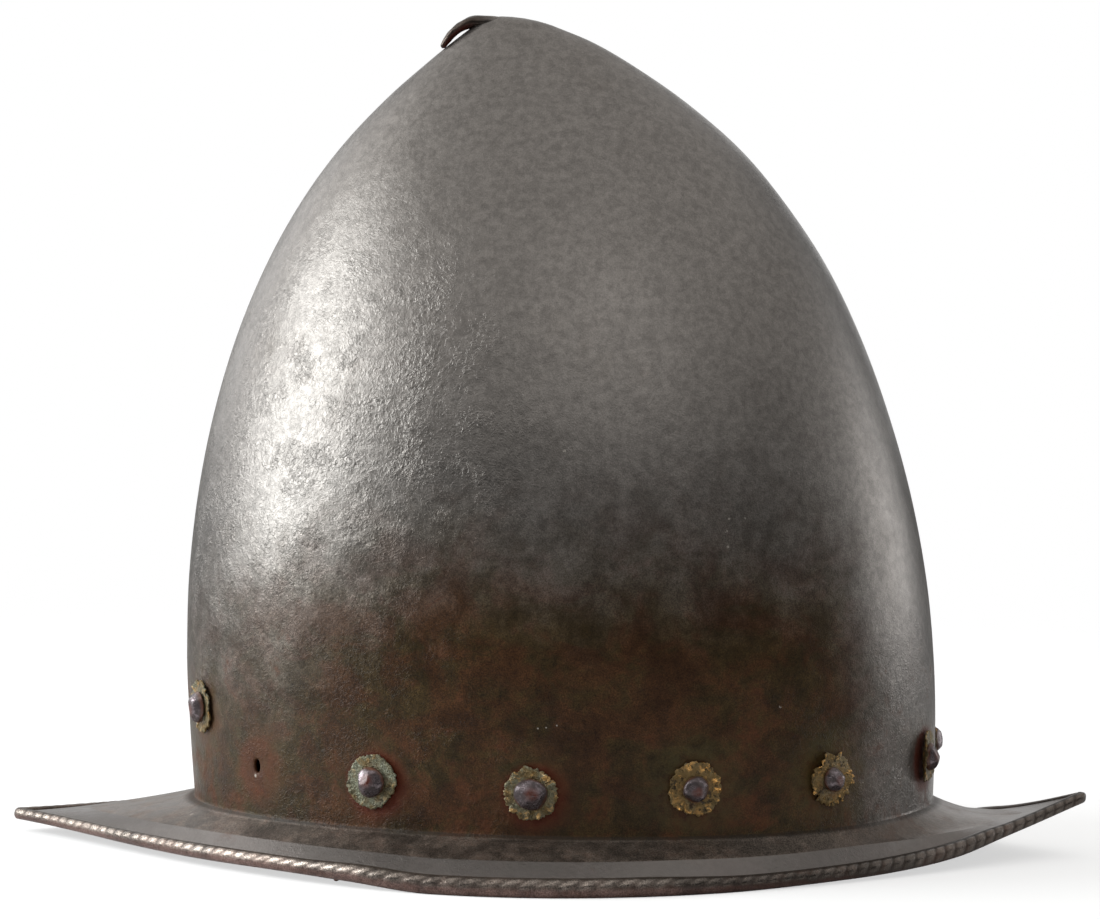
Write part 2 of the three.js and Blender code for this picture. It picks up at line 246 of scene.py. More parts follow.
    @lru_cache(maxsize=None)
    def border_outward(self, bearing: float) -> Point:
        """Returns the level direction out of the border."""
        step = 0.004
        along = self.border_point(bearing + step) - self.border_point(bearing - step)
        return Vector((along.y, -along.x, 0)).normalized()

    def bead_point(self, bearing: float, turn: float, sink: float = 0.0) -> Point:
        """Finds a point round the border's bead.

        Args:
            bearing: The bearing round the helmet.
            turn: The turn round the bead, 0 level inwards and a quarter turn on top.
            sink: How far the point lies below the plain bead.

        Returns:
            The point, with the underside hammered flat.
        """
        radius = self.bead_radius(bearing)
        s = math.sin(turn)
        rise = s if s >= 0 else max(-1.0, s * self.flattening)
        scale = (radius - sink) / radius
        outward = self.border_outward(bearing) * (-radius * math.cos(turn) * scale)
        return self.border_point(bearing) + outward + Vector((0, 0, radius * rise * scale))

    def brim_fall(self, out: float) -> float:
        """Returns the share of the brim's fall at a share of the way out, flatter beyond the crease."""
        if out <= self.crease:
            return self.slope.at(out)
        return blended(self.slope.values[-1], 1.0, (out - self.crease) / (1 - self.crease))

    def brim_point(self, bearing: float, out: float) -> Point:
        """Returns a point of the brim's upper side, from the bowl (0) to the border (1)."""
        inner = self.bowl_point(bearing, self.base)
        outer = self.bead_point(bearing, math.asin(self.wall * 0.6 / self.bead_radius(bearing)))
        c = math.cos(bearing)
        dip = (self.front_dip if c > 0 else self.rear_dip) * c**6
        degrees = math.degrees(math.acos(max(-1.0, min(1.0, c))))
        lift = self.lift.at(degrees) * min(out / self.crease, (1 - out) / (1 - self.crease))
        height = blended(inner.z, outer.z, self.brim_fall(out)) - dip * 4 * out * (1 - out) + lift
        return Vector((blended(inner.x, outer.x, out), blended(inner.y, outer.y, out), height))

    def rivet_places(self) -> list[RivetPlace]:
        """Returns the places of the rivet row, front to rear on each side."""
        made = []
        for side, way, last in (("right", -1, self.right_last), ("left", 1, self.left_last)):
            for number, (degrees, lift) in enumerate((*self.shared_row, last), start=1):
                name = f"{side}_{number}"
                bearing = math.radians(way * degrees)
                made.append(RivetPlace(name, bearing, self.base + lift, name == self.empty))
        return made

    def stand(self, place: RivetPlace) -> Matrix:
        """Returns the placing that turns a piece made along +Z to stand on the bowl."""
        normal = self.bowl_normal(place.bearing, place.height)
        level = Vector((0, 0, 1)).cross(normal).normalized()
        spot = self.bowl_point(place.bearing, place.height)
        return Matrix.Translation(spot) @ Matrix((level, normal.cross(level), normal)).transposed().to_4x4()


class Signal:
    """An output of a node, from which the nodes that follow are laid out."""

    def __init__(self, bench: "Bench", socket: bpy.types.NodeSocket) -> None:
        """Keeps the bench that the nodes are laid out on, and the output."""
        self.bench = bench
        self.socket = socket

    def __add__(self, other: "Signal | float") -> "Signal":
        """Returns the sum."""
        return self.bench.sum("ADD", self, other)

    def __sub__(self, other: "Signal | float") -> "Signal":
        """Returns this less the other."""
        return self.bench.sum("SUBTRACT", self, other)

    def __rsub__(self, other: float) -> "Signal":
        """Returns a number less this."""
        return self.bench.sum("SUBTRACT", other, self)

    def __mul__(self, other: "Signal | float") -> "Signal":
        """Returns the product."""
        return self.bench.sum("MULTIPLY", self, other)

    def __rtruediv__(self, other: float) -> "Signal":
        """Returns a number divided by this."""
        return self.bench.sum("DIVIDE", other, self)

    def __abs__(self) -> "Signal":
        """Returns the size of the value, without its sign."""
        return self.bench.sum("ABSOLUTE", self, None)

    def higher(self, other: "Signal | float") -> "Signal":
        """Returns the larger of the two values."""
        return self.bench.sum("MAXIMUM", self, other)

    def held(self) -> "Signal":
        """Holds a sum between 0 and 1."""
        self.socket.node.use_clamp = True
        return self

    def rise(self, low: object, high: object, start: float = 0.0, end: float = 1.0) -> "Signal":
        """Returns a smooth rise from start to end as the value passes from low to high."""
        takes = {"Value": self, "From Min": low, "From Max": high, "To Min": start, "To Max": end}
        return self.bench.make("ShaderNodeMapRange", takes, interpolation_type="SMOOTHSTEP")

    def between(self, first: object, second: object) -> "Signal":
        """Returns the value that lies this share of the way between two values."""
        return self.bench.make("ShaderNodeMix", {0: self, 2: first, 3: second}, data_type="FLOAT")

    def tint(self, first: object, second: object) -> "Signal":
        """Returns the colour that lies this share of the way between two colours."""
        return self.bench.make("ShaderNodeMix", {0: self, 6: first, 7: second}, 2, data_type="RGBA")

    def scaled(self, scale: object) -> "Signal":
        """Returns a vector or colour times a number."""
        return self.bench.make("ShaderNodeVectorMath", {0: self, "Scale": scale}, operation="SCALE")

    def stretched(self, stretch: tuple[float, float, float]) -> "Signal":
        """Returns a vector with each axis times its own number."""
        return self.bench.make("ShaderNodeVectorMath", {0: self, 1: stretch}, operation="MULTIPLY")

    def parts(self) -> list["Signal"]:
        """Returns the three parts of a vector."""
        node = self.bench.add("ShaderNodeSeparateXYZ", {0: self})
        return [Signal(self.bench, socket) for socket in node.outputs]

    def noise(self, size: float, detail: float, rough: float, twist: float = 0.0) -> "Signal":
        """Adds a soft noise, with this vector as its coordinates in millimetres.

        Args:
            size: The size of its largest clouds in millimetres.
            detail: How many finer layers it has.
            rough: How strong the finer layers are.
            twist: How much it is drawn into swirls.

        Returns:
            The noise's value, from 0 to 1 round a middle of about a half.
        """
        takes = {"Scale": 1.0 / size, "Detail": detail, "Roughness": rough, "Distortion": twist}
        return self.bench.make("ShaderNodeTexNoise", {"Vector": self, **takes}, noise_dimensions="3D")

    def cells(self, size: float) -> "Signal":
        """Returns the distance to the nearest of scattered points, in cells of a size in millimetres."""
        return self.bench.make("ShaderNodeTexVoronoi", {"Vector": self, "Scale": 1.0 / size})

    def spot(self, centre: tuple[float, float, float], size: float) -> "Signal":
        """Returns a mask that is 1 within a small spot round a centre, all in millimetres."""
        away = self.bench.make("ShaderNodeVectorMath", {0: self, 1: centre}, "Value", operation="DISTANCE")
        return away.rise(size, size * 0.5)

    def bump(self, strength: float, depth: float) -> "Signal":
        """Returns the normals of a relief whose whole height is a depth in millimetres."""
        takes = {"Strength": strength, "Distance": depth * MM, "Height": self}
        return self.bench.make("ShaderNodeBump", takes)


class Bench:
    """Lays out the nodes of one material, world or node group."""

    def __init__(self, tree: bpy.types.NodeTree) -> None:
        """Keeps the tree that the nodes go into."""
        self.tree = tree

    @classmethod
    def cleared(cls, owner: bpy.types.Material | bpy.types.World) -> "Bench":
        """Starts the nodes of a material or a world afresh."""
        owner.use_nodes = True
        owner.node_tree.nodes.clear()
        return cls(owner.node_tree)

    def add(self, kind: str, takes: Takes, **settings: object) -> bpy.types.Node:
        """Adds a node.

        Args:
            kind: The kind of node.
            takes: A signal, a constant or None for each input, by its name or number.
            **settings: The node's settings.

        Returns:
            The node.
        """
        node = self.tree.nodes.new(kind)
        for name, value in settings.items():
            setattr(node, name, value)
        for key, value in takes.items():
            if isinstance(value, Signal):
                self.tree.links.new(value.socket, node.inputs[key])
            elif value is not None:
                node.inputs[key].default_value = value
        return node

    def make(
        self, kind: str, takes: Takes | None = None, output: int | str = 0, **settings: object
    ) -> Signal:
        """Adds a node and returns one of its outputs."""
        return Signal(self, self.add(kind, takes or {}, **settings).outputs[output])

    def sum(self, operation: str, first: object, second: object) -> Signal:
        """Adds a sum of two values and returns its result."""
        return self.make("ShaderNodeMath", {0: first, 1: second}, operation=operation)

    def use(self, group: bpy.types.NodeTree, **values: object) -> dict[str, Signal]:
        """Places a node group with its inputs, and returns its outputs by name."""
        node = self.add("ShaderNodeGroup", values, node_tree=group)
        return {socket.name: Signal(self, socket) for socket in node.outputs}

    def attribute(self, name: str) -> Signal:
        """Returns the value of a piece's own attribute."""
        return self.make("ShaderNodeAttribute", output="Fac", attribute_name=name)

    def millimetres(self) -> Signal:
        """Returns the object coordinates in millimetres."""
        return self.make("ShaderNodeTexCoord", output="Object").scaled(1 / MM)


def new_group(
    name: str, takes: dict[str, float | None], outline: Callable[[dict[str, Signal]], dict[str, Signal]]
) -> bpy.types.NodeTree:
    """Makes a shader node group.

    Args:
        name: The group's name.
        takes: The usual value of each input by name, or None for a vector.
        outline: Works out the outputs by name from the inputs by name.

    Returns:
        The group.
    """
    tree = bpy.data.node_groups.new(name, "ShaderNodeTree")
    for title, usual in takes.items():
        kind = "NodeSocketVector" if usual is None else "NodeSocketFloat"
        socket = tree.interface.new_socket(title, in_out="INPUT", socket_type=kind)
        if usual is not None:
            socket.default_value = usual
    bench = Bench(tree)
    start = bench.add("NodeGroupInput", {})
    made = outline({title: Signal(bench, start.outputs[title]) for title in takes})
    for title, signal in made.items():
        kind = "NodeSocketColor" if signal.socket.type == "RGBA" else "NodeSocketFloat"
        tree.interface.new_socket(title, in_out="OUTPUT", socket_type=kind)
    bench.add("NodeGroupOutput", made)
    return tree


@dataclass(frozen=True)
class SurfaceEffects:
    """The node groups that several finishes share."""

    mottle: bpy.types.NodeTree
    pitting: bpy.types.NodeTree
    rusting: bpy.types.NodeTree

    @classmethod
    def build(cls) -> "SurfaceEffects":
        """Builds each group once."""
        return cls(
            new_group("old_patina_mottle", {"Vector": None, "Size": 30.0}, cls.mottled),
            new_group("forged_pitting", {"Vector": None, "Size": 2.5, "Pits": 0.5}, cls.pitted),
            new_group("ragged_rust", {"Vector": None, "Amount": 0.3}, cls.rusted),
        )

    @staticmethod
    def mottled(takes: dict[str, Signal]) -> dict[str, Signal]:
        """Works out the uneven clouds and the fine speckle of an old patina."""
        place = takes["Vector"].scaled(1.0 / takes["Size"])
        return {
            "Cloud": place.noise(1.0, 5.0, 0.6, 0.5),
            "Patches": place.noise(0.32, 6.0, 0.68, 0.3),
            "Speckle": place.noise(0.05, 3.0, 0.7),
        }

    @staticmethod
    def pitted(takes: dict[str, Signal]) -> dict[str, Signal]:
        """Works out the lumpy, crinkled skin and the small pits of old forged metal."""
        place = takes["Vector"].scaled(1.0 / takes["Size"])
        soft = place.noise(1.0, 2.0, 0.5)
        crinkled = abs(place.noise(0.62, 3.0, 0.6, 0.8) - 0.5).rise(0.0, 0.16)
        scatter = place.noise(3.2, 3.0, 0.6).rise(0.44, 0.62)
        hollow = place.cells(0.8).rise(0.08, 0.42, 1.0, 0.0)
        return {"Height": soft * 0.6 + crinkled * 0.4 - hollow * (scatter * takes["Pits"])}

    @staticmethod
    def rusted(takes: dict[str, Signal]) -> dict[str, Signal]:
        """Works out ragged patches of rust that spread as the amount grows."""
        ragged = takes["Vector"].noise(11.0, 8.0, 0.72, 0.4)
        edge = 0.86 - takes["Amount"] * 0.72
        grain = takes["Vector"].noise(1.6, 4.0, 0.7).rise(0.3, 0.7)
        return {
            "Mask": ragged.rise(edge - 0.09, edge + 0.09),
            "Rust": grain.tint((0.036, 0.010, 0.004, 1), (0.092, 0.030, 0.011, 1)),
        }


@dataclass(frozen=True)
class Finish:
    """What every finish shares: how its material is made from what its main shader takes."""

    def takes(self, bench: Bench, effects: SurfaceEffects) -> dict[str, object]:
        """Works out what the main shader takes, by the names of its inputs."""
        raise NotImplementedError

    def build(self, name: str, effects: SurfaceEffects) -> bpy.types.Material:
        """Builds the finish's material from the shared effects."""
        made = bpy.data.materials.new(name)
        bench = Bench.cleared(made)
        shader = bench.make("ShaderNodeBsdfPrincipled", self.takes(bench, effects))
        bench.add("ShaderNodeOutputMaterial", {"Surface": shader})
        return made


@dataclass(frozen=True)
class BlackenedIron(Finish):
    """The bowl and brim's old iron: dark brown, satin, greyer and smoother towards the top."""

    clean: Colour = (0.149, 0.138, 0.128, 1)
    russet: Colour = (0.040, 0.017, 0.006, 1)
    olive: Colour = (0.031, 0.019, 0.006, 1)
    brim: Colour = (0.112, 0.093, 0.079, 1)
    band: Colour = (0.147, 0.136, 0.129, 1)
    rope: Colour = (0.112, 0.094, 0.083, 1)
    strip: Colour = (0.125, 0.088, 0.082, 1)
    crest: Colour = (0.240, 0.210, 0.185, 1)
    stalk: Colour = (0.050, 0.040, 0.034, 1)
    dirt_and_shade: Colour = (0.014, 0.009, 0.005, 1)
    blood: Colour = (0.085, 0.010, 0.003, 1)
    moss: Colour = (0.060, 0.050, 0.018, 1)
    nick: Colour = (0.560, 0.520, 0.460, 1)
    sheen: float = 0.17
    nicks: tuple[tuple[tuple[float, float, float], float], ...] = (
        ((11.8, -85.1, 132.4), 0.8),
        ((61.2, -78.0, 108.4), 0.9),
        ((61.8, -78.7, 103.6), 0.7),
        ((62.0, -76.7, 112.0), 0.6),
        ((66.7, -74.3, 112.0), 0.6),
        ((78.5, -75.4, 54.4), 0.7),
        ((5.7, -96.0, 48.4), 0.45),
        ((8.2, -96.0, 48.7), 0.4),
        ((11.5, -95.8, 49.4), 0.45),
        ((-85.9, -62.4, 27.6), 1.1),
        ((-109.1, -39.9, 12.0), 1.1),
    )
    marks: tuple[str, ...] = (
        "brim", "band", "rope", "strip", "crest", "stalk", "halo", "moss", "groove", "inside",
    )

    def metal_colour(self, place: Signal, marks: dict[str, Signal], bare: Signal) -> Signal:
        """Mixes the colour of the bare and the rusty metal before its shading.

        Args:
            place: The object coordinates in millimetres.
            marks: The piece's attributes by name.
            bare: The mask of the bare metal.

        Returns:
            The colour.
        """
        tone = marks["brim"].tint(self.clean, marks["band"].tint(self.brim, self.band))
        tone = marks["rope"].tint(tone, marks["strip"].tint(self.rope, self.strip))
        tone = (marks["crest"] * 0.6).tint(tone, self.crest)
        tone = marks["stalk"].tint(tone, self.stalk)
        streaks = place.stretched((0.75, 0.75, 1.1)).noise(13.0, 6.0, 0.66, 0.6).rise(0.42, 0.58)
        return bare.tint(streaks.tint(self.russet, self.olive), tone)

    def shade(self, along: Signal, level: Signal, marks: dict, broad: dict, fine: dict) -> Signal:
        """Works out how much lighter or darker than its colour the metal is.

        Args:
            along: The coordinate along the helmet.
            level: How far the metal has the look of the bowl's upper part.
            marks: The piece's attributes by name.
            broad: The broad mottle's outputs.
            fine: The fine mottle's outputs.

        Returns:
            The factor.
        """
        speckle = fine["Speckle"]
        shade = level.between(speckle.rise(0.28, 0.72, 0.42, 1.65), speckle.rise(0.25, 0.75, 0.82, 1.15))
        shade = shade * level.between(broad["Patches"].rise(0.36, 0.64, 0.68, 1.32), 1.0)
        shade = shade * fine["Patches"].rise(0.3, 0.7, 0.80, 1.18)
        # The brim is made lighter from the rear to the middle, darker towards the front, and about as before
        # at the front tip.
        brim_lightness = along.rise(20.0, 75.0, 1.16, 0.72) * along.rise(105.0, 135.0, 1.0, 1.35)
        shade = shade * marks["brim"].between(1.0, brim_lightness)
        # Painted shade: the rope is made darker towards the front, where the lamps light it strongly, and a
        # little lighter at the rear.
        painted_rope_shade = along.rise(25.0, 85.0, 1.0, 0.72) * along.rise(-40.0, -100.0, 1.0, 1.15)
        shade = shade * marks["rope"].between(1.0, painted_rope_shade)
        return marks["band"].between(shade, fine["Patches"].rise(0.3, 0.7, 0.94, 1.06))

    def height_of_skin(self, place: Signal, brim: Signal, speckle: Signal, effects: SurfaceEffects) -> Signal:
        """Works out the height of the skin in millimetres.

        Args:
            place: The object coordinates in millimetres.
            brim: The mask of the brim, which is smoother.
            speckle: The finest mottle.
            effects: The shared effects.

        Returns:
            The height, with lumps at the rear and low down, broad waves, and streaks drawn up to the apex.
        """
        along, _, height = place.parts()
        pitted = (along.rise(30.0, -60.0) * height.rise(225.0, 165.0)).higher(height.rise(95.0, 35.0))
        pitted = pitted * (1.0 - brim * 0.75) * place.noise(13.0, 3.0, 0.6).rise(0.46, 0.62, 0.35, 1.0)
        skin = place.bench.use(effects.pitting, Vector=place, Size=2.6, Pits=0.5)["Height"]
        drawn = place.stretched((1.0, 1.0, 0.1)).noise(1.6, 3.0, 0.6) * height.rise(150.0, 215.0, 0.0, 0.10)
        relief = skin * pitted.between(0.03, 0.25) + place.noise(30.0, 2.0, 0.5) * 0.5 + speckle * 0.04
        return relief + (drawn + place.noise(1.0, 3.0, 0.62) * pitted.between(0.0, 0.16))

    def takes(self, bench: Bench, effects: SurfaceEffects) -> dict[str, object]:
        """Works out what the main shader takes, by the names of its inputs."""
        place = bench.millimetres()
        along, _, height = place.parts()
        marks = {name: bench.attribute(name) for name in self.marks}
        brim, halo, groove, inside = marks["brim"], marks["halo"], marks["groove"], marks["inside"]
        broad = bench.use(effects.mottle, Vector=place, Size=34.0)
        fine = bench.use(effects.mottle, Vector=place, Size=9.0)
        worn_rear = along.rise(-30.0, -105.0, 0.0, 0.4) * height.rise(18.0, 60.0)
        level = (height.rise(46.0, 158.0) + (along.rise(88.0, 118.0, 0.0, 0.75) + worn_rear)).held()
        uneven = ((broad["Cloud"] - 0.5) * 0.9 + (broad["Patches"] - 0.5) * 0.6) * level.between(0.35, 1.0)
        kept = (level + uneven).rise(0.08, 0.95).higher(brim * 0.8)
        bare = (kept * (1.0 - inside)).held()
        base = self.metal_colour(place, marks, bare).scaled(self.shade(along, level, marks, broad, fine))
        amount = height.rise(130.0, 15.0, 0.0, 0.26) + marks["band"].between(0.14, 0.02)
        rust = bench.use(effects.rusting, Vector=place, Amount=amount + marks["strip"] * 0.22 + inside * 0.45)
        mask = rust["Mask"] * brim.between(0.7, 0.3)
        base = mask.tint(base, rust["Rust"])
        ragged = place.noise(4.5, 5.0, 0.66).rise(0.30, 0.62)
        bled = (halo * halo.between(ragged, 1.0)).held()
        base = (bled * 0.85).tint(base, self.blood)
        base = (marks["moss"] * ragged * 0.75).tint(base, self.moss)
        # Dirt and painted shade: the grooves, the dark lines along the rope and the crease at the foot of the
        # bowl are darkened.
        base = (groove * 0.9).tint(base, self.dirt_and_shade)
        scars = reduce(Signal.higher, [place.spot(centre, size * 0.8) for centre, size in self.nicks])
        base = (scars * place.noise(0.7, 3.0, 0.6).rise(0.42, 0.54) * 0.5).tint(base, self.nick)
        covered = mask.higher(bled.higher(groove))
        rough = bare.between(0.42, 0.335) + covered * 0.18 + broad["Patches"].rise(0.3, 0.7, -0.04, 0.05)
        return {
            "Base Color": base,
            "Metallic": (bare.between(0.12, 0.95) * (1.0 - covered)).held(),
            "Roughness": rough - marks["crest"] * 0.12,
            "Normal": self.height_of_skin(place, brim, fine["Speckle"], effects).bump(0.9, 1.0),
            "Specular IOR Level": self.sheen,
        }


@dataclass(frozen=True)
class RivetIron(Finish):
    """The rivets' hammered iron, lilac grey and shiny where worn, with a red stain on the crown."""

    worn: Colour = (0.175, 0.146, 0.156, 1)
    dark: Colour = (0.040, 0.030, 0.030, 1)
    stain: Colour = (0.070, 0.016, 0.009, 1)

    def takes(self, bench: Bench, effects: SurfaceEffects) -> dict[str, object]:
        """Works out what the main shader takes, by the names of its inputs."""
        place = bench.millimetres()
        fine = bench.use(effects.mottle, Vector=place, Size=7.0)
        crown = bench.attribute("crown")
        kept = fine["Patches"].rise(0.42, 0.64, 0.1, 1.0) * crown.between(0.35, 1.0)
        stained = (bench.attribute("centre") * place.noise(1.8, 4.0, 0.65).rise(0.28, 0.48)).held()
        base = stained.tint(kept.tint(self.dark, self.worn), self.stain)
        rust = bench.use(effects.rusting, Vector=place, Amount=crown.between(0.62, 0.22))
        skin = bench.use(effects.pitting, Vector=place, Size=1.3, Pits=0.8)
        return {
            "Base Color": rust["Mask"].tint(base, rust["Rust"]),
            "Metallic": (kept.between(0.5, 0.97) * (1.0 - rust["Mask"].higher(stained))).held(),
            "Roughness": kept.between(0.38, 0.18),
            "Normal": skin["Height"].bump(0.8, 0.06),
        }


@dataclass(frozen=True)
class TarnishedBrass(Finish):
    """The rosette washers' thin brass, gone green and olive, with golden folds."""

    gold: Colour = (0.800, 0.440, 0.140, 1)
    olive: Colour = (0.085, 0.062, 0.020, 1)
    brassy: Colour = (0.165, 0.105, 0.034, 1)
    verdigris: Colour = (0.150, 0.155, 0.105, 1)
    grime: Colour = (0.028, 0.019, 0.007, 1)

    def takes(self, bench: Bench, effects: SurfaceEffects) -> dict[str, object]:
        """Works out what the main shader takes, by the names of its inputs."""
        place = bench.millimetres()
        fine = bench.use(effects.mottle, Vector=place, Size=6.0)
        edge = bench.attribute("edge")
        golden = bench.attribute("golden")
        green = (fine["Cloud"].rise(0.35, 0.6, 0.2, 1.2) - golden).held()
        base = green.tint(golden.tint(self.olive, self.brassy), self.verdigris)
        lobed = bench.attribute("fold").between(0.3, 1.0) * edge.between(0.25, 1.0)
        bright = (place.noise(2.1, 4.0, 0.6, 0.8).rise(0.50, 0.60) * (lobed * golden)).held()
        base = bright.tint(base, self.gold)
        grimy = place.noise(2.2, 4.0, 0.7).rise(0.49, 0.36) * golden.between(0.65, 1.0)
        base = grimy.tint(base, self.grime)
        rust = bench.use(effects.rusting, Vector=place, Amount=edge.between(0.45, 0.2))
        skin = bench.use(effects.pitting, Vector=place, Size=1.7, Pits=0.9)
        return {
            "Base Color": (rust["Mask"] * 0.5).tint(base, rust["Rust"]),
            "Metallic": bright.between(0.4, 0.85),
            "Roughness": bright.between(0.42, 0.22),
            "Normal": skin["Height"].bump(1.0, 0.40),
        }


@dataclass(frozen=True)
class ThongLeather(Finish):
    """The scrap of old leather thong: dry, orange brown and cracked."""

    dry: Colour = (0.270, 0.085, 0.030, 1)
    worn: Colour = (0.120, 0.040, 0.018, 1)

    def takes(self, bench: Bench, effects: SurfaceEffects) -> dict[str, object]:
        """Works out what the main shader takes, by the names of its inputs."""
        place = bench.millimetres()
        fine = bench.use(effects.mottle, Vector=place, Size=3.0)
        skin = bench.use(effects.pitting, Vector=place, Size=0.6, Pits=0.6)
        return {
            "Base Color": fine["Patches"].rise(0.35, 0.65).tint(self.worn, self.dry),
            "Roughness": fine["Speckle"].between(0.7, 0.9),
            "Normal": skin["Height"].bump(0.9, 0.1),
        }


def placed(name: str, data: bpy.types.ID) -> bpy.types.Object:
    """Returns a new object of the scene that shows the data."""
    made = bpy.data.objects.new(name, data)
    bpy.context.scene.collection.objects.link(made)
    return made


def float_layers(bm: bmesh.types.BMesh, *names: str) -> list[bmesh.types.BMLayerItem]:
    """Returns new attributes of a mesh's vertices."""
    return [bm.verts.layers.float.new(name) for name in names]


def bent_grid(bm: bmesh.types.BMesh, rings: list[Ring]) -> list[list[bmesh.types.BMVert]]:
    """Bends a flat grid of faces through rings of points.

    Args:
        bm: The mesh that the grid is made in.
        rings: Rings of as many points each, in millimetres, from one end of the form to the other.

    Returns:
        The grid's vertices, ring by ring. The last of each ring lies on the first until the seam is closed.
    """
    around = len(rings[0])
    steps = len(rings) - 1
    grid = [[None] * (around + 1) for _ in rings]
    for vert in bmesh.ops.create_grid(bm, x_segments=around, y_segments=steps, size=0.5)["verts"]:
        grid[round((vert.co.y + 0.5) * steps)][round((vert.co.x + 0.5) * around)] = vert
    for ring, row in zip(rings, grid):
        for column, vert in enumerate(row):
            vert.co = ring[column % around] * MM
    return grid


def close_seams(bm: bmesh.types.BMesh) -> None:
    """Merges the vertices that lie on each other, and turns every face outwards."""
    bmesh.ops.remove_doubles(bm, verts=bm.verts[:], dist=0.0005 * MM)
    bmesh.ops.dissolve_degenerate(bm, edges=bm.edges[:], dist=0.0001 * MM)
    bmesh.ops.recalc_face_normals(bm, faces=bm.faces[:])


def finished_piece(
    bm: bmesh.types.BMesh, name: str, material: bpy.types.Material, slot: str, *stands_for: str
) -> bpy.types.Object:
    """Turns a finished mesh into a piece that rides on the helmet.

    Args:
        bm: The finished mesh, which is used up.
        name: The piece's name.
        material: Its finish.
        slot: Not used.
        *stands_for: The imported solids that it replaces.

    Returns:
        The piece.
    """
    mesh = bpy.data.meshes.new(name)
    bm.to_mesh(mesh)
    bm.free()
    mesh.shade_smooth()
    mesh.materials.append(material)
    piece = placed(name, mesh)
    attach(piece, "root")
    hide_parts(*stands_for)
    return piece


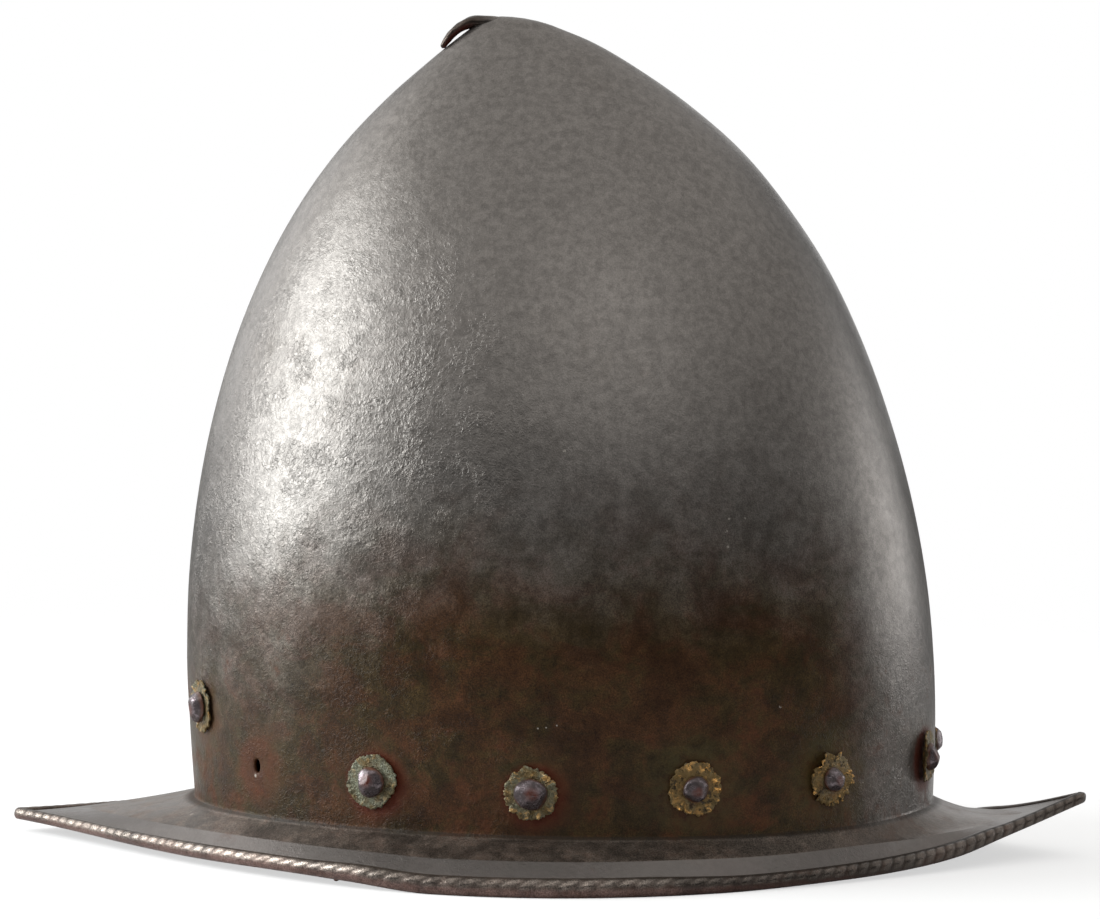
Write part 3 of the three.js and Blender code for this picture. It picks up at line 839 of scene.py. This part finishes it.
@dataclass
class ForgedSkull:
    """The bowl and brim, raised from one sheet of iron."""

    form: HelmetForm
    finish: bpy.types.Material
    places: list[RivetPlace]
    stains: dict[str, tuple[float, float]]
    usual_stain: tuple[float, float] = (0.6, 0.3)
    columns: int = 392
    cap_rings: tuple[float, ...] = (0, 0.2, 0.45, 0.7, 0.88)
    crown_rings: tuple[float, ...] = (0.85, 0.65, 0.42, 0.2, 0.0)
    foot_rings: tuple[float, ...] = (0.0, 0.008, 0.018, 0.032, 0.05, 0.075, 0.11)
    widest_step: float = 3.2
    closing: float = 2.3
    undrilled_rings: int = 8
    hole_radius: float = 1.9
    empty_hole: tuple[float, float] = (0.72, 1.15)
    lip: float = 0.5
    edge_rings: int = 11
    patch_rows: int = 4
    patch_columns: int = 2
    stained_levels: tuple[float, float] = (8.0, 90.0)
    stained_reach: float = 30.0
    halo_start: float = 8.2
    halo_reach: float = 2.7
    moss_start: float = 8.5
    moss_reach: float = 7.0

    def outer_rings(self) -> tuple[list[Ring], list[float]]:
        """Returns the outside's rings from the apex to the border, and how far out on the brim each lies."""
        bearings = [FULL_TURN * i / self.columns for i in range(self.columns)]
        made = []
        for point_at, stops in (
            (self.form.cap_point, self.cap_rings),
            (self.form.bowl_point, self.levels()),
            (self.form.brim_point, self.brim_shares()),
        ):
            made += [[point_at(b, stop) for b in bearings] for stop in stops]
        out = self.brim_shares()
        return made, [0.0] * (len(made) - len(out)) + out

    def levels(self) -> list[float]:
        """Returns the bowl's levels from the top down, closer together at the top and along the rivet row."""
        made = []
        height = self.form.heights[-1]
        while height > self.form.base + 0.4:
            made.append(height)
            closer = max(eased(235.0, 262.0, height), 1 - eased(34.0, 60.0, height))
            height -= self.widest_step - self.closing * closer
        return made

    def brim_shares(self) -> list[float]:
        """Returns the brim's rings by their share of the way out, with three close together at the crease."""
        crease = self.form.crease
        middle = [blended(0.15, crease - 0.03, k / 8) for k in range(9)]
        edge = [crease - 0.012, crease, crease + 0.012]
        far = [blended(crease + 0.04, 1.0, k / 7) for k in range(8)]
        return [*self.foot_rings, *middle, *edge, *far]

    def inner_rings(self, outer: list[Ring]) -> list[Ring]:
        """Returns the inside's rings, each a wall's thickness under the outside, from the border to the apex.

        The outermost rings fold over at the tips, so their normals are turned up there.
        """
        form = self.form
        last = len(outer) - 1
        rings = []
        for j in range(last, -1, -1):
            ring = outer[j]
            if ring[0].z > form.inner_top:
                break
            above = outer[max(j - 1, 0)]
            below = outer[min(j + 1, last)]
            made = []
            for i, point in enumerate(ring):
                around = ring[(i + 1) % self.columns] - ring[i - 1]
                normal = around.cross(above[i] - below[i]).normalized()
                if j > last - self.edge_rings and normal.z < 0:
                    normal.negate()
                made.append(point - normal * form.wall)
            rings.append(made)
        rim = rings[-1]
        apex = form.apex_along
        for share in self.crown_rings:
            rise = 1 - share * share
            rings.append([
                Vector((blended(apex, p.x, share), p.y * share, blended(p.z, form.inner_apex, rise)))
                for p in rim
            ])
        return rings

    def patch(
        self, grid: list[list[bmesh.types.BMVert]], rows: range, place: RivetPlace, depth: float
    ) -> tuple[list[bmesh.types.BMFace], list[bmesh.types.BMEdge]]:
        """Finds the square of faces that a hole opens in one skin.

        Args:
            grid: The sheet's vertices, ring by ring.
            rows: The rings of the skin.
            place: The hole's place, which lies on a column of the grid.
            depth: How deep the skin lies under the outside.

        Returns:
            The square's faces, and the edges round it.
        """
        column = round(place.bearing / FULL_TURN * self.columns) % self.columns
        centre = self.form.stand(place) @ Vector((0, 0, -depth)) * MM
        row = min(rows, key=lambda j: (grid[j][column].co - centre).length)
        corner = {
            grid[j][k]
            for j in range(row - self.patch_rows, row + self.patch_rows + 1)
            for k in range(column - self.patch_columns, column + self.patch_columns + 1)
        }
        faces = [f for f in {f for v in corner for f in v.link_faces} if all(v in corner for v in f.verts)]
        inner = set(faces)
        edges = {e for f in faces for e in f.edges}
        return faces, [e for e in edges if sum(f in inner for f in e.link_faces) == 1]

    def drill(self, bm: bmesh.types.BMesh, grid: list[list[bmesh.types.BMVert]], seam: int) -> None:
        """Opens every rivet hole through both skins, with slightly worn lips.

        Args:
            bm: The sheet.
            grid: Its vertices, ring by ring.
            seam: The number of the first ring of the inside.
        """
        spots = [self.form.stand(place) for place in self.places]
        outside = range(self.undrilled_rings, seam)
        inside = range(seam, len(grid) - self.undrilled_rings)
        outer = [self.patch(grid, outside, place, 0.0) for place in self.places]
        inner = [self.patch(grid, inside, place, self.form.wall) for place in self.places]
        bmesh.ops.delete(bm, geom=[f for faces, _ in outer + inner for f in faces], context="FACES")
        rims = [border for _, border in outer]
        rims = self.drawn_in(bm, rims, spots, self.hole_radius + self.lip, 0.02)
        rims = self.drawn_in(bm, rims, spots, self.hole_radius, 0.3)
        backs = self.drawn_in(bm, [border for _, border in inner], spots, self.hole_radius, self.form.wall)
        for rim, back in zip(rims, backs):
            bmesh.ops.bridge_loops(bm, edges=rim + back)

    def drawn_in(
        self,
        bm: bmesh.types.BMesh,
        borders: list[list[bmesh.types.BMEdge]],
        spots: list[Matrix],
        radius: float,
        sunk: float,
    ) -> list[list[bmesh.types.BMEdge]]:
        """Extrudes the open edge loops of all holes and draws each in to a circle.

        Args:
            bm: The sheet.
            borders: The open loop of each hole.
            spots: The placing of each hole.
            radius: The circles' radius in millimetres.
            sunk: How deep the circles lie under the outside.

        Returns:
            The new open loop of each hole.
        """
        made = bmesh.ops.extrude_edge_only(bm, edges=[e for border in borders for e in border])["geom"]
        owner = {}
        for vert in (g for g in made if isinstance(g, bmesh.types.BMVert)):
            point = vert.co / MM
            hole = min(range(len(spots)), key=lambda k: (spots[k].translation - point).length)
            local = spots[hole].inverted() @ point
            turn = math.atan2(local.y, local.x)
            wide, tall = self.empty_hole if self.places[hole].empty else (1.0, 1.0)
            circle = Vector((radius * wide * math.cos(turn), radius * tall * math.sin(turn), -sunk))
            vert.co = spots[hole] @ circle * MM
            owner[vert] = hole
        loops = [[] for _ in spots]
        for edge in (g for g in made if isinstance(g, bmesh.types.BMEdge)):
            if all(v in owner for v in edge.verts):
                loops[owner[edge.verts[0]]].append(edge)
        return loops

    def stain(self, bm: bmesh.types.BMesh) -> None:
        """Marks the red halo and the green round every hole."""
        halo, moss = (bm.verts.layers.float[name] for name in ("halo", "moss"))
        stands = [self.form.stand(p).inverted() for p in self.places]
        centres = [self.form.bowl_point(p.bearing, p.height) for p in self.places]
        low, high = self.stained_levels
        for vert in bm.verts:
            point = vert.co / MM
            if not low < point.z < high:
                continue
            k = min(range(len(centres)), key=lambda i: (point - centres[i]).length)
            local = stands[k] @ point
            gap = math.hypot(local.x, local.y)
            if gap > self.stained_reach:
                continue
            red, green = self.stains.get(self.places[k].name, self.usual_stain)
            reach = self.halo_reach * (1.0 + 0.5 * (local.x - local.y) / max(gap, 0.1))
            vert[halo] = red * math.exp(-((max(0.0, gap - self.halo_start) / reach) ** 2))
            vert[moss] = green * math.exp(-((max(0.0, gap - self.moss_start) / self.moss_reach) ** 2))

    def build(self) -> bpy.types.Object:
        """Builds the sheet with its holes, its wear marks and its painted shade."""
        outer, out = self.outer_rings()
        bm = bmesh.new()
        names = ("brim", "band", "halo", "moss", "groove", "inside")
        brim, band, _, _, groove, inside = float_layers(bm, *names)
        grid = bent_grid(bm, outer + self.inner_rings(outer))
        crease = self.form.crease
        for j, row in enumerate(grid):
            share = out[j] if j < len(outer) else 0.0
            for vert in row:
                vert[brim] = eased(0.02, 0.07, share)
                vert[band] = eased(crease - 0.01, crease + 0.01, share)
                # Dirt and painted shade: a dark line in the crease where the bowl turns out into the brim.
                vert[groove] = 0.75 * eased(0.06, 0.0, abs(share - 0.02)) if share > 0 else 0.0
                vert[inside] = 0.0 if j < len(outer) else 1.0
        self.drill(bm, grid, len(outer))
        self.stain(bm)
        close_seams(bm)
        return finished_piece(bm, "forged_skull", self.finish, "blackened_iron", "skull")


@dataclass
class RopedBorder:
    """The turned border of the brim, chased as a rope along its upper half."""

    form: HelmetForm
    finish: bpy.types.Material
    strand: float = 5.8
    tip_strand: float = 4.5
    steps_a_strand: int = 15
    measuring_steps: int = 12000
    bead_steps: int = 24
    depth: float = 0.6
    slant: float = 0.95
    tip_slant: float = 0.25
    front_low: float = -0.22
    seed: Vector = Vector((3.1, 7.7, 1.9))

    def relief(self, phase: float) -> float:
        """Returns how deep the surface lies at a phase across one rounded strand, 0 on its crown."""
        t = 2 * (phase % 1.0) - 1
        return 1 - math.sqrt(max(0.0, 1 - 0.97 * t * t))

    def chasing(self) -> list[tuple[float, ...]]:
        """Returns each column's bearing, lean, lower end, wear, drifted strand count and scale."""
        made = []
        for bearing, phase in zip(*self.evenly()):
            c = math.cos(bearing)
            tip = eased(0.45, 0.95, abs(c))
            low = blended(0.02, self.front_low if c > 0 else 0.0, tip)
            spot = Vector((phase * 0.21, 0, 0)) + self.seed
            worn = 0.85 + 0.6 * noise.noise(spot)
            drifted = phase + 0.2 * noise.noise(spot * 2.3)
            low += 0.03 * noise.noise(spot * 4.1)
            scale = self.form.bead_radius(bearing) / self.form.thick_bead
            made.append((bearing, blended(self.slant, self.tip_slant, tip), low, worn, drifted, scale))
        return made

    def build(self) -> bpy.types.Object:
        """Builds the rope round the whole brim."""
        columns = self.chasing()
        rings = []
        marks = []
        for j in range(self.bead_steps + 1):
            turn = FULL_TURN * j / self.bead_steps
            over = 1 - turn / math.pi
            ring = []
            mark_ring = []
            for bearing, lean, low, worn, drifted, scale in columns:
                chased = eased(low - 0.09, low + 0.09, over) * (1 - eased(0.36, 0.46, over))
                cut = self.relief(drifted - lean * over * 2)
                line = eased(0.34, 0.42, over) * (1 - eased(0.56, 0.62, over))
                seam = (1 - eased(0.0, 0.05, abs(over - low + 0.05))) * 0.5
                sink = scale * (self.depth * worn * cut * chased + line * 0.35 + seam * 0.25)
                ring.append(self.form.bead_point(bearing, turn, sink))
                # Dirt and painted shade: the grooves between the strands, the line along the rope's top and
                # the seam above the plain strip are darkened.
                dark = min(1.0, cut * cut * chased * 0.9 + line * 0.85 + seam)
                crest = max(0.0, 1 - 2.4 * cut) * chased
                mark_ring.append((dark, crest, eased(low + 0.02, low - 0.08, over), 1.0, 1.0))
            rings.append(ring)
            marks.append(mark_ring)
        bm = bmesh.new()
        layers = float_layers(bm, "groove", "crest", "strip", "brim", "rope")
        for row, mark_ring in zip(bent_grid(bm, rings), marks):
            for k, vert in enumerate(row):
                for layer, value in zip(layers, mark_ring[k % len(columns)]):
                    vert[layer] = value
        close_seams(bm)
        return finished_piece(bm, "roped_border", self.finish, "blackened_iron", "skull")

    def pitch(self, bearing: float) -> float:
        """Returns the length of one strand along the border, shorter towards the tips."""
        return blended(self.strand, self.tip_strand, eased(0.3, 0.9, abs(math.cos(bearing))))

    def evenly(self) -> tuple[list[float], list[float]]:
        """Returns bearings spaced so that every strand has as many, and the strand count at each of them."""
        fine = self.measuring_steps
        line = [self.form.border_point(FULL_TURN * i / fine) for i in range(fine + 1)]
        run = [0.0]
        for k in range(fine):
            run.append(run[-1] + (line[k + 1] - line[k]).length / self.pitch(FULL_TURN * k / fine))
        strands = round(run[-1])
        columns = strands * self.steps_a_strand
        bearings = []
        k = 0
        for i in range(columns):
            goal = run[-1] * i / columns
            while run[k + 1] < goal:
                k += 1
            share = (goal - run[k]) / (run[k + 1] - run[k])
            bearings.append(FULL_TURN * (k + share) / fine)
        return bearings, [strands * i / columns for i in range(columns)]


@dataclass
class ApexStalk:
    """The short flattened stalk at the apex, hooked back and down towards the bowl."""

    form: HelmetForm
    finish: bpy.types.Material
    sides: int = 24
    steps: int = 40
    stops: tuple[float, ...] = (0.0, 1.0, 2.0, 3.0, 4.0, 5.0, 6.0)
    alongs: tuple[float, ...] = (-12, -18.5, -25, -29.6, -32.9, -34.9, -36.3)
    levels: tuple[float, ...] = (260.8, 263.4, 263.6, 262.2, 259.7, 257.2, 254.9)
    thicks: tuple[float, ...] = (3.4, 4.2, 4.2, 3.6, 3.0, 2.6, 2.0)
    wides: tuple[float, ...] = (5.8, 5.7, 5.4, 5.0, 4.4, 3.8, 3.0)
    dents: float = 0.10
    thick_share: float = 0.90
    wide_share: float = 0.94

    def build(self) -> bpy.types.Object:
        """Builds the stalk as one hammered bar with rounded ends."""
        measures = (self.alongs, self.levels, self.thicks, self.wides)
        along, level, thick, wide = (SmoothLine(self.stops, values) for values in measures)
        rings = []
        for j in range(self.steps + 1):
            t = self.stops[-1] * j / self.steps
            run = along.at(t + 0.05) - along.at(t - 0.05)
            climb = level.at(t + 0.05) - level.at(t - 0.05)
            up = Vector((climb, 0, -run)).normalized()
            close = rounded_end(min(j, self.steps - j) / 3)
            ring = []
            for k in range(self.sides):
                c = math.cos(FULL_TURN * k / self.sides)
                s = math.sin(FULL_TURN * k / self.sides)
                dent = 1 + self.dents * noise.noise(Vector((t * 1.7, c * 1.5, s * 1.5)))
                lift = up * (thick.at(t) / 2 * s * close * dent * self.thick_share)
                side = wide.at(t) / 2 * c * close * dent * self.wide_share
                ring.append(Vector((along.at(t), 0, level.at(t))) + lift + Vector((0, side, 0)))
            rings.append(ring)
        bm = bmesh.new()
        stalk, halo = float_layers(bm, "stalk", "halo")
        for j, row in enumerate(bent_grid(bm, rings)):
            for k, vert in enumerate(row):
                vert[stalk] = eased(4, 14, j)
                vert[halo] = 0.9 * eased(0.2, -0.5, math.sin(FULL_TURN * k / self.sides)) * eased(12, 20, j)
        close_seams(bm)
        return finished_piece(bm, "apex_stalk", self.finish, "blackened_iron", "skull")


@dataclass(frozen=True)
class WasherWear:
    """How one rosette washer has aged: its gold, its teeth, its folds, its curl, and where it is bent off."""

    golden: float
    teeth: float
    folds: float
    curl: float
    head: float = 1.0
    bent_at: float = 0.0
    bent: float = 0.0


class WasherState(Enum):
    """The ages of washer that the photograph shows."""

    VERDIGRIS = WasherWear(golden=0.2, teeth=0.06, folds=0.02, curl=0.55, head=0.96)
    OLIVE = WasherWear(golden=0.5, teeth=0.08, folds=0.04, curl=0.7, head=1.04)
    GOLDEN = WasherWear(golden=1.0, teeth=0.07, folds=0.06, curl=1.0, head=0.84)
    FOLDED = WasherWear(golden=0.9, teeth=0.08, folds=0.10, curl=1.3, head=0.76, bent_at=2.6, bent=0.9)
    EDGE_ON = WasherWear(golden=0.45, teeth=0.05, folds=0.05, curl=0.4, head=0.86, bent_at=math.pi, bent=2.4)


@dataclass
class Fastening:
    """One rivet with its thin ragged rosette washer."""

    form: HelmetForm
    place: RivetPlace
    iron: bpy.types.Material
    brass: bpy.types.Material
    state: WasherState
    seed: int
    full_head_radius: float = 5.1
    head_height: float = 3.6
    head_rim: float = 0.7
    spin_steps: int = 32
    flats: int = 8
    shank_radius: float = 1.6
    peen_radius: float = 2.9
    peen_height: float = 1.2
    peen_gap: float = 0.45
    seat: float = 1.5
    washer_radius: float = 9.0
    washer_hole: float = 2.0
    washer_thickness: float = 0.55
    washer_lift: float = 0.62
    lobes: int = 11
    steps_a_lobe: int = 14
    washer_cuts: int = 9

    @property
    def head_radius(self) -> float:
        """The radius of this rivet's head."""
        return self.full_head_radius * self.state.value.head

    def profile(self) -> list[tuple[float, float]]:
        """Returns the rivet's half outline from the top of the head to the end of the peen."""
        r, rise, seat = self.head_radius, self.head_height - self.head_rim, self.seat
        arc = [math.pi / 2 * k / 9 for k in range(10)]
        top = [(r * math.sin(a), seat + self.head_rim + rise * math.cos(a)) for a in arc]
        rim = [(r * 0.99, seat + 0.35), (r * 0.9, seat + 0.05), (r * 0.6, seat), (self.shank_radius, seat)]
        under = -self.form.wall - self.peen_gap
        shank = [(self.shank_radius, 0.0), (self.shank_radius, under)]
        arc = [math.pi / 2 * k / 4 for k in range(5)]
        peen = [(self.peen_radius * math.cos(a), under - self.peen_height * math.sin(a)) for a in arc]
        return top + rim + shank + peen

    def hammered(self, rng: random.Random) -> list[tuple[Vector, float]]:
        """Returns the facing of each flat left by the hammer, and how far out it lies from the middle."""
        radius = self.head_radius
        made = []
        for _ in range(self.flats):
            turn = rng.uniform(0, FULL_TURN)
            tilt = rng.uniform(0.35, 1.2)
            s = math.sin(tilt)
            facing = Vector((math.cos(turn) * s, math.sin(turn) * s, math.cos(tilt)))
            reach = Vector((facing.x * radius, facing.y * radius, facing.z * self.head_height))
            made.append((facing, reach.length * rng.uniform(0.78, 0.92)))
        return made

    def rivet(self) -> bpy.types.Object:
        """Builds the rivet: a spun outline, then a few flats left by the hammer."""
        rng = random.Random(self.seed)
        bm = bmesh.new()
        crown, centre = float_layers(bm, "crown", "centre")
        outline = [bm.verts.new((x * MM, 0, z * MM)) for x, z in self.profile()]
        edges = [bm.edges.new(pair) for pair in zip(outline, outline[1:])]
        turned = {"cent": (0, 0, 0), "axis": (0, 0, 1), "angle": FULL_TURN, "steps": self.spin_steps}
        bmesh.ops.spin(bm, geom=outline + edges, use_merge=True, **turned)
        bmesh.ops.remove_doubles(bm, verts=bm.verts[:], dist=0.001 * MM)
        flats = self.hammered(rng)
        middle = Vector((0, 0, self.seat))
        shift = Vector((rng.uniform(-10, 10), rng.uniform(-10, 10), 0))
        squeeze = rng.uniform(0.9, 1.0)
        for vert in bm.verts:
            point = vert.co / MM
            if point.z < self.seat - 0.01:
                continue
            vert[crown] = eased(0.8, 2.6, point.z - self.seat)
            vert[centre] = eased(0.62, 0.2, math.hypot(point.x - 0.6, point.y + 0.5) / self.head_radius)
            offset = point - middle
            wobble = 1 + 0.035 * noise.noise(point * 0.35 + shift)
            offset.x *= squeeze * wobble
            offset.y *= wobble
            for facing, limit in flats:
                over = offset.dot(facing) - limit
                if over > 0:
                    offset -= facing * over * 0.9
            vert.co = (middle + offset) * MM
        return self.seated(bm, rng.uniform(0, FULL_TURN), "rivet", "hammered", self.iron, "rivet_iron")

    def rosette(self) -> bpy.types.Object:
        """Builds the rosette: a ring between two circles, cut ragged, curled and given its thickness."""
        rng = random.Random(self.seed + 500)
        wear = self.state.value
        bm = bmesh.new()
        edge, golden, fold = float_layers(bm, "edge", "golden", "fold")
        circles = []
        for radius in (self.washer_radius, self.washer_hole):
            steps = self.lobes * self.steps_a_lobe
            circles += bmesh.ops.create_circle(bm, segments=steps, radius=radius * MM)["verts"]
        spokes = bmesh.ops.bridge_loops(bm, edges=list({e for v in circles for e in v.link_edges}))["edges"]
        bmesh.ops.subdivide_edges(bm, edges=spokes, cuts=self.washer_cuts)
        shift = Vector((rng.uniform(-50, 50), rng.uniform(-50, 50), rng.uniform(-50, 50)))
        for vert in bm.verts:
            point = vert.co / MM
            turn = math.atan2(point.y, point.x)
            share = eased(2.6, self.washer_radius, point.length)
            around = Vector((math.cos(turn), math.sin(turn), 0))
            lobe = 0.5 + 0.5 * math.cos(turn * self.lobes + 5 * noise.noise(around * 1.3 + shift))
            tooth = noise.noise(around * 7.0 + shift) + 0.8 * noise.noise(around * 17.0 + shift)
            loss = wear.folds * (1 - lobe) * (0.6 + noise.noise(around * 2.1 - shift))
            loss += wear.teeth * (0.5 + tooth)
            loss += 0.07 * (0.6 + noise.noise(around * 1.4 + shift))
            reach = 1 - share**2 * min(0.4, max(0.0, loss))
            curl = noise.noise(around * 1.8 - shift) + 1.1 * noise.noise(around * 7.5 - shift)
            curl += 0.2 * (lobe - 0.5)
            lift = self.washer_lift - 0.25 * share + share**3 * (0.3 + wear.curl * max(-0.35, curl))
            off = max(0.0, math.cos(turn - wear.bent_at)) * max(0.0, point.length - 2.5) / 6.5
            lift += wear.bent * off**1.5
            dent = noise.noise(point * 0.5 + shift) * 0.16
            vert.co = Vector((point.x * reach, point.y * reach, lift + dent)) * MM
            vert[edge] = eased(0.3, 0.9, share)
            vert[golden] = wear.golden
            vert[fold] = eased(-0.2, 0.5, curl + 0.4 * (lobe - 0.4))
        bmesh.ops.solidify(bm, geom=bm.faces[:], thickness=self.washer_thickness * MM)
        return self.seated(bm, 0.0, "rosette", "ragged", self.brass, "tarnished_brass")

    def seated(
        self, bm: bmesh.types.BMesh, turn: float, kind: str, look: str, finish: bpy.types.Material, slot: str
    ) -> bpy.types.Object:
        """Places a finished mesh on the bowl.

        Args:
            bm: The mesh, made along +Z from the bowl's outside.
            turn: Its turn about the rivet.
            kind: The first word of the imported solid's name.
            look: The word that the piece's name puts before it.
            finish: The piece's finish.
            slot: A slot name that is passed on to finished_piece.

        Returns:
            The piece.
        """
        placing = Matrix.Scale(MM, 4) @ self.form.stand(self.place)
        placing = placing @ Matrix.Rotation(turn, 4, "Z") @ Matrix.Scale(1 / MM, 4)
        bmesh.ops.transform(bm, matrix=placing, verts=bm.verts[:])
        bmesh.ops.recalc_face_normals(bm, faces=bm.faces[:])
        name = f"{kind}_{self.place.name}"
        return finished_piece(bm, f"{look}_{name}", finish, slot, name)


@dataclass
class ThongScrap:
    """The short scrap of leather thong left under the right side of the brim."""

    finish: bpy.types.Material
    sides: int = 14
    steps: int = 16
    sway: float = 0.18
    width_share: float = 0.8

    def build(self) -> bpy.types.Object:
        """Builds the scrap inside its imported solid's box."""
        low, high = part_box("thong_scrap")
        middle = (low + high) / 2
        half = (high - low) / 2
        rings = []
        for j in range(self.steps + 1):
            t = j / self.steps
            close = rounded_end(min(t, 1 - t) * 7)
            sway = self.sway * math.sin(t * 5.0)
            ring = []
            for k in range(self.sides):
                c = math.cos(FULL_TURN * k / self.sides)
                s = math.sin(FULL_TURN * k / self.sides)
                rough = 0.82 + 0.16 * noise.noise(Vector((c * 2, s * 2, t * 6)))
                x = middle.x + half.x * (c * close * rough * self.width_share + sway)
                y = middle.y + half.y * (s * close * rough * self.width_share)
                ring.append(Vector((x, y, blended(high.z, low.z, t))) / MM)
            rings.append(ring)
        bm = bmesh.new()
        bent_grid(bm, rings)
        close_seams(bm)
        return finished_piece(bm, "leather_thong_scrap", self.finish, "thong_leather", "thong_scrap")


@dataclass(frozen=True)
class Softbox:
    """One soft studio light, placed by its direction from the helmet."""

    name: str
    azimuth: float
    elevation: float
    distance: float
    width: float
    height: float
    radiance: float
    tint: tuple[float, float, float] = (1.0, 1.0, 1.0)

    def build(self, aim: Vector) -> None:
        """Builds the light and turns it to face the point that it is aimed at."""
        away = seen_from(self.azimuth, self.elevation)
        lamp = bpy.data.lights.new(self.name, "AREA")
        lamp.shape = "RECTANGLE"
        lamp.size = self.width
        lamp.size_y = self.height
        lamp.energy = self.radiance * math.pi * self.width * self.height
        lamp.color = self.tint
        made = placed(self.name, lamp)
        made.location = aim + away * self.distance
        made.rotation_euler = away.to_track_quat("Z", "Y").to_euler()
        made.visible_camera = False


@dataclass
class Studio:
    """The pale floor, the soft lights and the camera."""

    azimuth: float = 5.0
    elevation: float = 4.0
    roll: float = 0.7
    distance: float = 1.8
    aim: Vector = Vector((0, 0, 0.12384))
    field: float = 0.35266
    sensor: float = 36.0
    floor_radius: float = 9.0
    boxes: tuple[Softbox, ...] = (
        Softbox("window_light", -82, 19, 1.5, 0.86, 1.0, 10.0, (0.95, 1.0, 1.02)),
        Softbox("window_spill", -92, 24, 1.7, 2.5, 1.5, 1.5),
        Softbox("window_edge", -136, 14, 1.8, 0.9, 0.8, 1.7),
        Softbox("front_fill", 22, 44, 1.7, 0.95, 0.6, 0.7),
        Softbox("right_light", 122, 4, 1.7, 0.8, 0.6, 2.0),
        Softbox("right_spill", 116, 10, 1.9, 2.2, 1.1, 0.7),
        Softbox("rear_light", 180, 14, 1.9, 1.5, 0.9, 1.0),
    )

    def camera(self) -> None:
        """Builds the camera at the photograph's angle and makes it the scene's."""
        back = seen_from(self.azimuth, self.elevation)
        az = math.radians(self.azimuth)
        right = Vector((math.cos(az), math.sin(az), 0))
        up = back.cross(right)
        tilt = math.radians(self.roll)
        side = right * math.cos(tilt) + up * math.sin(tilt)
        top = up * math.cos(tilt) - right * math.sin(tilt)
        data = bpy.data.cameras.new("photograph_camera")
        data.sensor_width = self.sensor
        data.lens = self.sensor * self.distance / self.field
        data.clip_start = 0.05
        data.clip_end = 100.0
        made = placed("photograph_camera", data)
        turned = Matrix((side, top, back)).transposed().to_4x4()
        made.matrix_world = Matrix.Translation(self.aim + back * self.distance) @ turned
        bpy.context.scene.camera = made

    def world(self) -> None:
        """Builds the white surroundings for the camera, and a soft sky overhead for everything else."""
        made = bpy.data.worlds.new("studio_surroundings")
        bench = Bench.cleared(made)
        seen = bench.make("ShaderNodeLightPath", output="Is Camera Ray")
        height = bench.make("ShaderNodeTexCoord", output="Generated").parts()[2]
        sky = height.rise(0.2, 0.72).tint((0.02, 0.02, 0.02, 1), (1.02, 1.0, 0.98, 1))
        glow = bench.make("ShaderNodeBackground", {"Color": seen.tint(sky, (1, 1, 1, 1))})
        bench.add("ShaderNodeOutputWorld", {"Surface": glow})
        bpy.context.scene.world = made

    def floor(self) -> None:
        """Builds the wide pale floor, which fades into the white surroundings far away."""
        bm = bmesh.new()
        bmesh.ops.create_circle(bm, cap_ends=True, segments=64, radius=self.floor_radius)
        mesh = bpy.data.meshes.new("pale_floor")
        bm.to_mesh(mesh)
        bm.free()
        mesh.materials.append(self.floor_paper())
        placed("pale_floor", mesh)

    def floor_paper(self) -> bpy.types.Material:
        """Makes the floor's matt paper, which the camera sees nearly white."""
        made = bpy.data.materials.new("pale_floor_paper")
        bench = Bench.cleared(made)
        seen = bench.make("ShaderNodeLightPath", output="Is Camera Ray")
        spot = bench.make("ShaderNodeTexCoord", output="Object")
        away = bench.make("ShaderNodeVectorMath", {0: spot}, "Value", operation="LENGTH")
        lit = away.rise(0.22, 0.5).tint((0.8, 0.8, 0.8, 1), (0.16, 0.16, 0.16, 1))
        paper = bench.make("ShaderNodeBsdfDiffuse", {"Color": seen.tint(lit, (0.9, 0.9, 0.9, 1))})
        beyond = bench.make("ShaderNodeBsdfTransparent")
        fade = away.rise(0.25, 0.8, 0.6, 1.0) * seen
        both = bench.make("ShaderNodeMixShader", {0: fade, 1: paper, 2: beyond})
        bench.add("ShaderNodeOutputMaterial", {"Surface": both})
        return made

    def build(self) -> None:
        """Sets the whole stage."""
        bpy.context.scene.view_settings.view_transform = "Standard"
        self.camera()
        for box in self.boxes:
            box.build(self.aim)
        self.world()
        self.floor()


STATES = {
    "right_5": WasherState.VERDIGRIS,
    "right_4": WasherState.OLIVE,
    "right_3": WasherState.GOLDEN,
    "right_2": WasherState.FOLDED,
    "right_1": WasherState.EDGE_ON,
}
STAINS = {
    "right_1": (1.0, 0.2),
    "right_2": (0.3, 0.8),
    "right_3": (0.45, 0.8),
    "right_4": (0.95, 0.3),
    "right_5": (1.0, 0.2),
    "right_6": (0.5, 0.3),
    "right_7": (0.4, 0.5),
}
FIRST_SEED = 11


def main() -> None:
    """Builds the helmet piece by piece, then its studio."""
    logging.basicConfig(level=logging.INFO, format="%(message)s")
    log = logging.getLogger("helmet")
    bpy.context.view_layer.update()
    form = HelmetForm()
    effects = SurfaceEffects.build()
    iron = BlackenedIron().build("blackened_iron", effects)
    rivet_iron = RivetIron().build("rivet_iron", effects)
    brass = TarnishedBrass().build("tarnished_brass", effects)
    leather = ThongLeather().build("thong_leather", effects)
    places = form.rivet_places()
    pieces = [
        ForgedSkull(form, iron, places, STAINS).build(),
        RopedBorder(form, iron).build(),
        ApexStalk(form, iron).build(),
        ThongScrap(leather).build(),
    ]
    for number, place in enumerate(places):
        if place.empty:
            continue
        state = STATES.get(place.name, WasherState.OLIVE)
        fastening = Fastening(form, place, rivet_iron, brass, state, seed=FIRST_SEED + number)
        pieces += [fastening.rivet(), fastening.rosette()]
    for piece in pieces:
        log.info("%s: %d faces", piece.name, len(piece.data.polygons))
    Studio().build()
    log.info("sizes written for %d pieces", len(pieces))


if __name__ == "__main__":
    main()
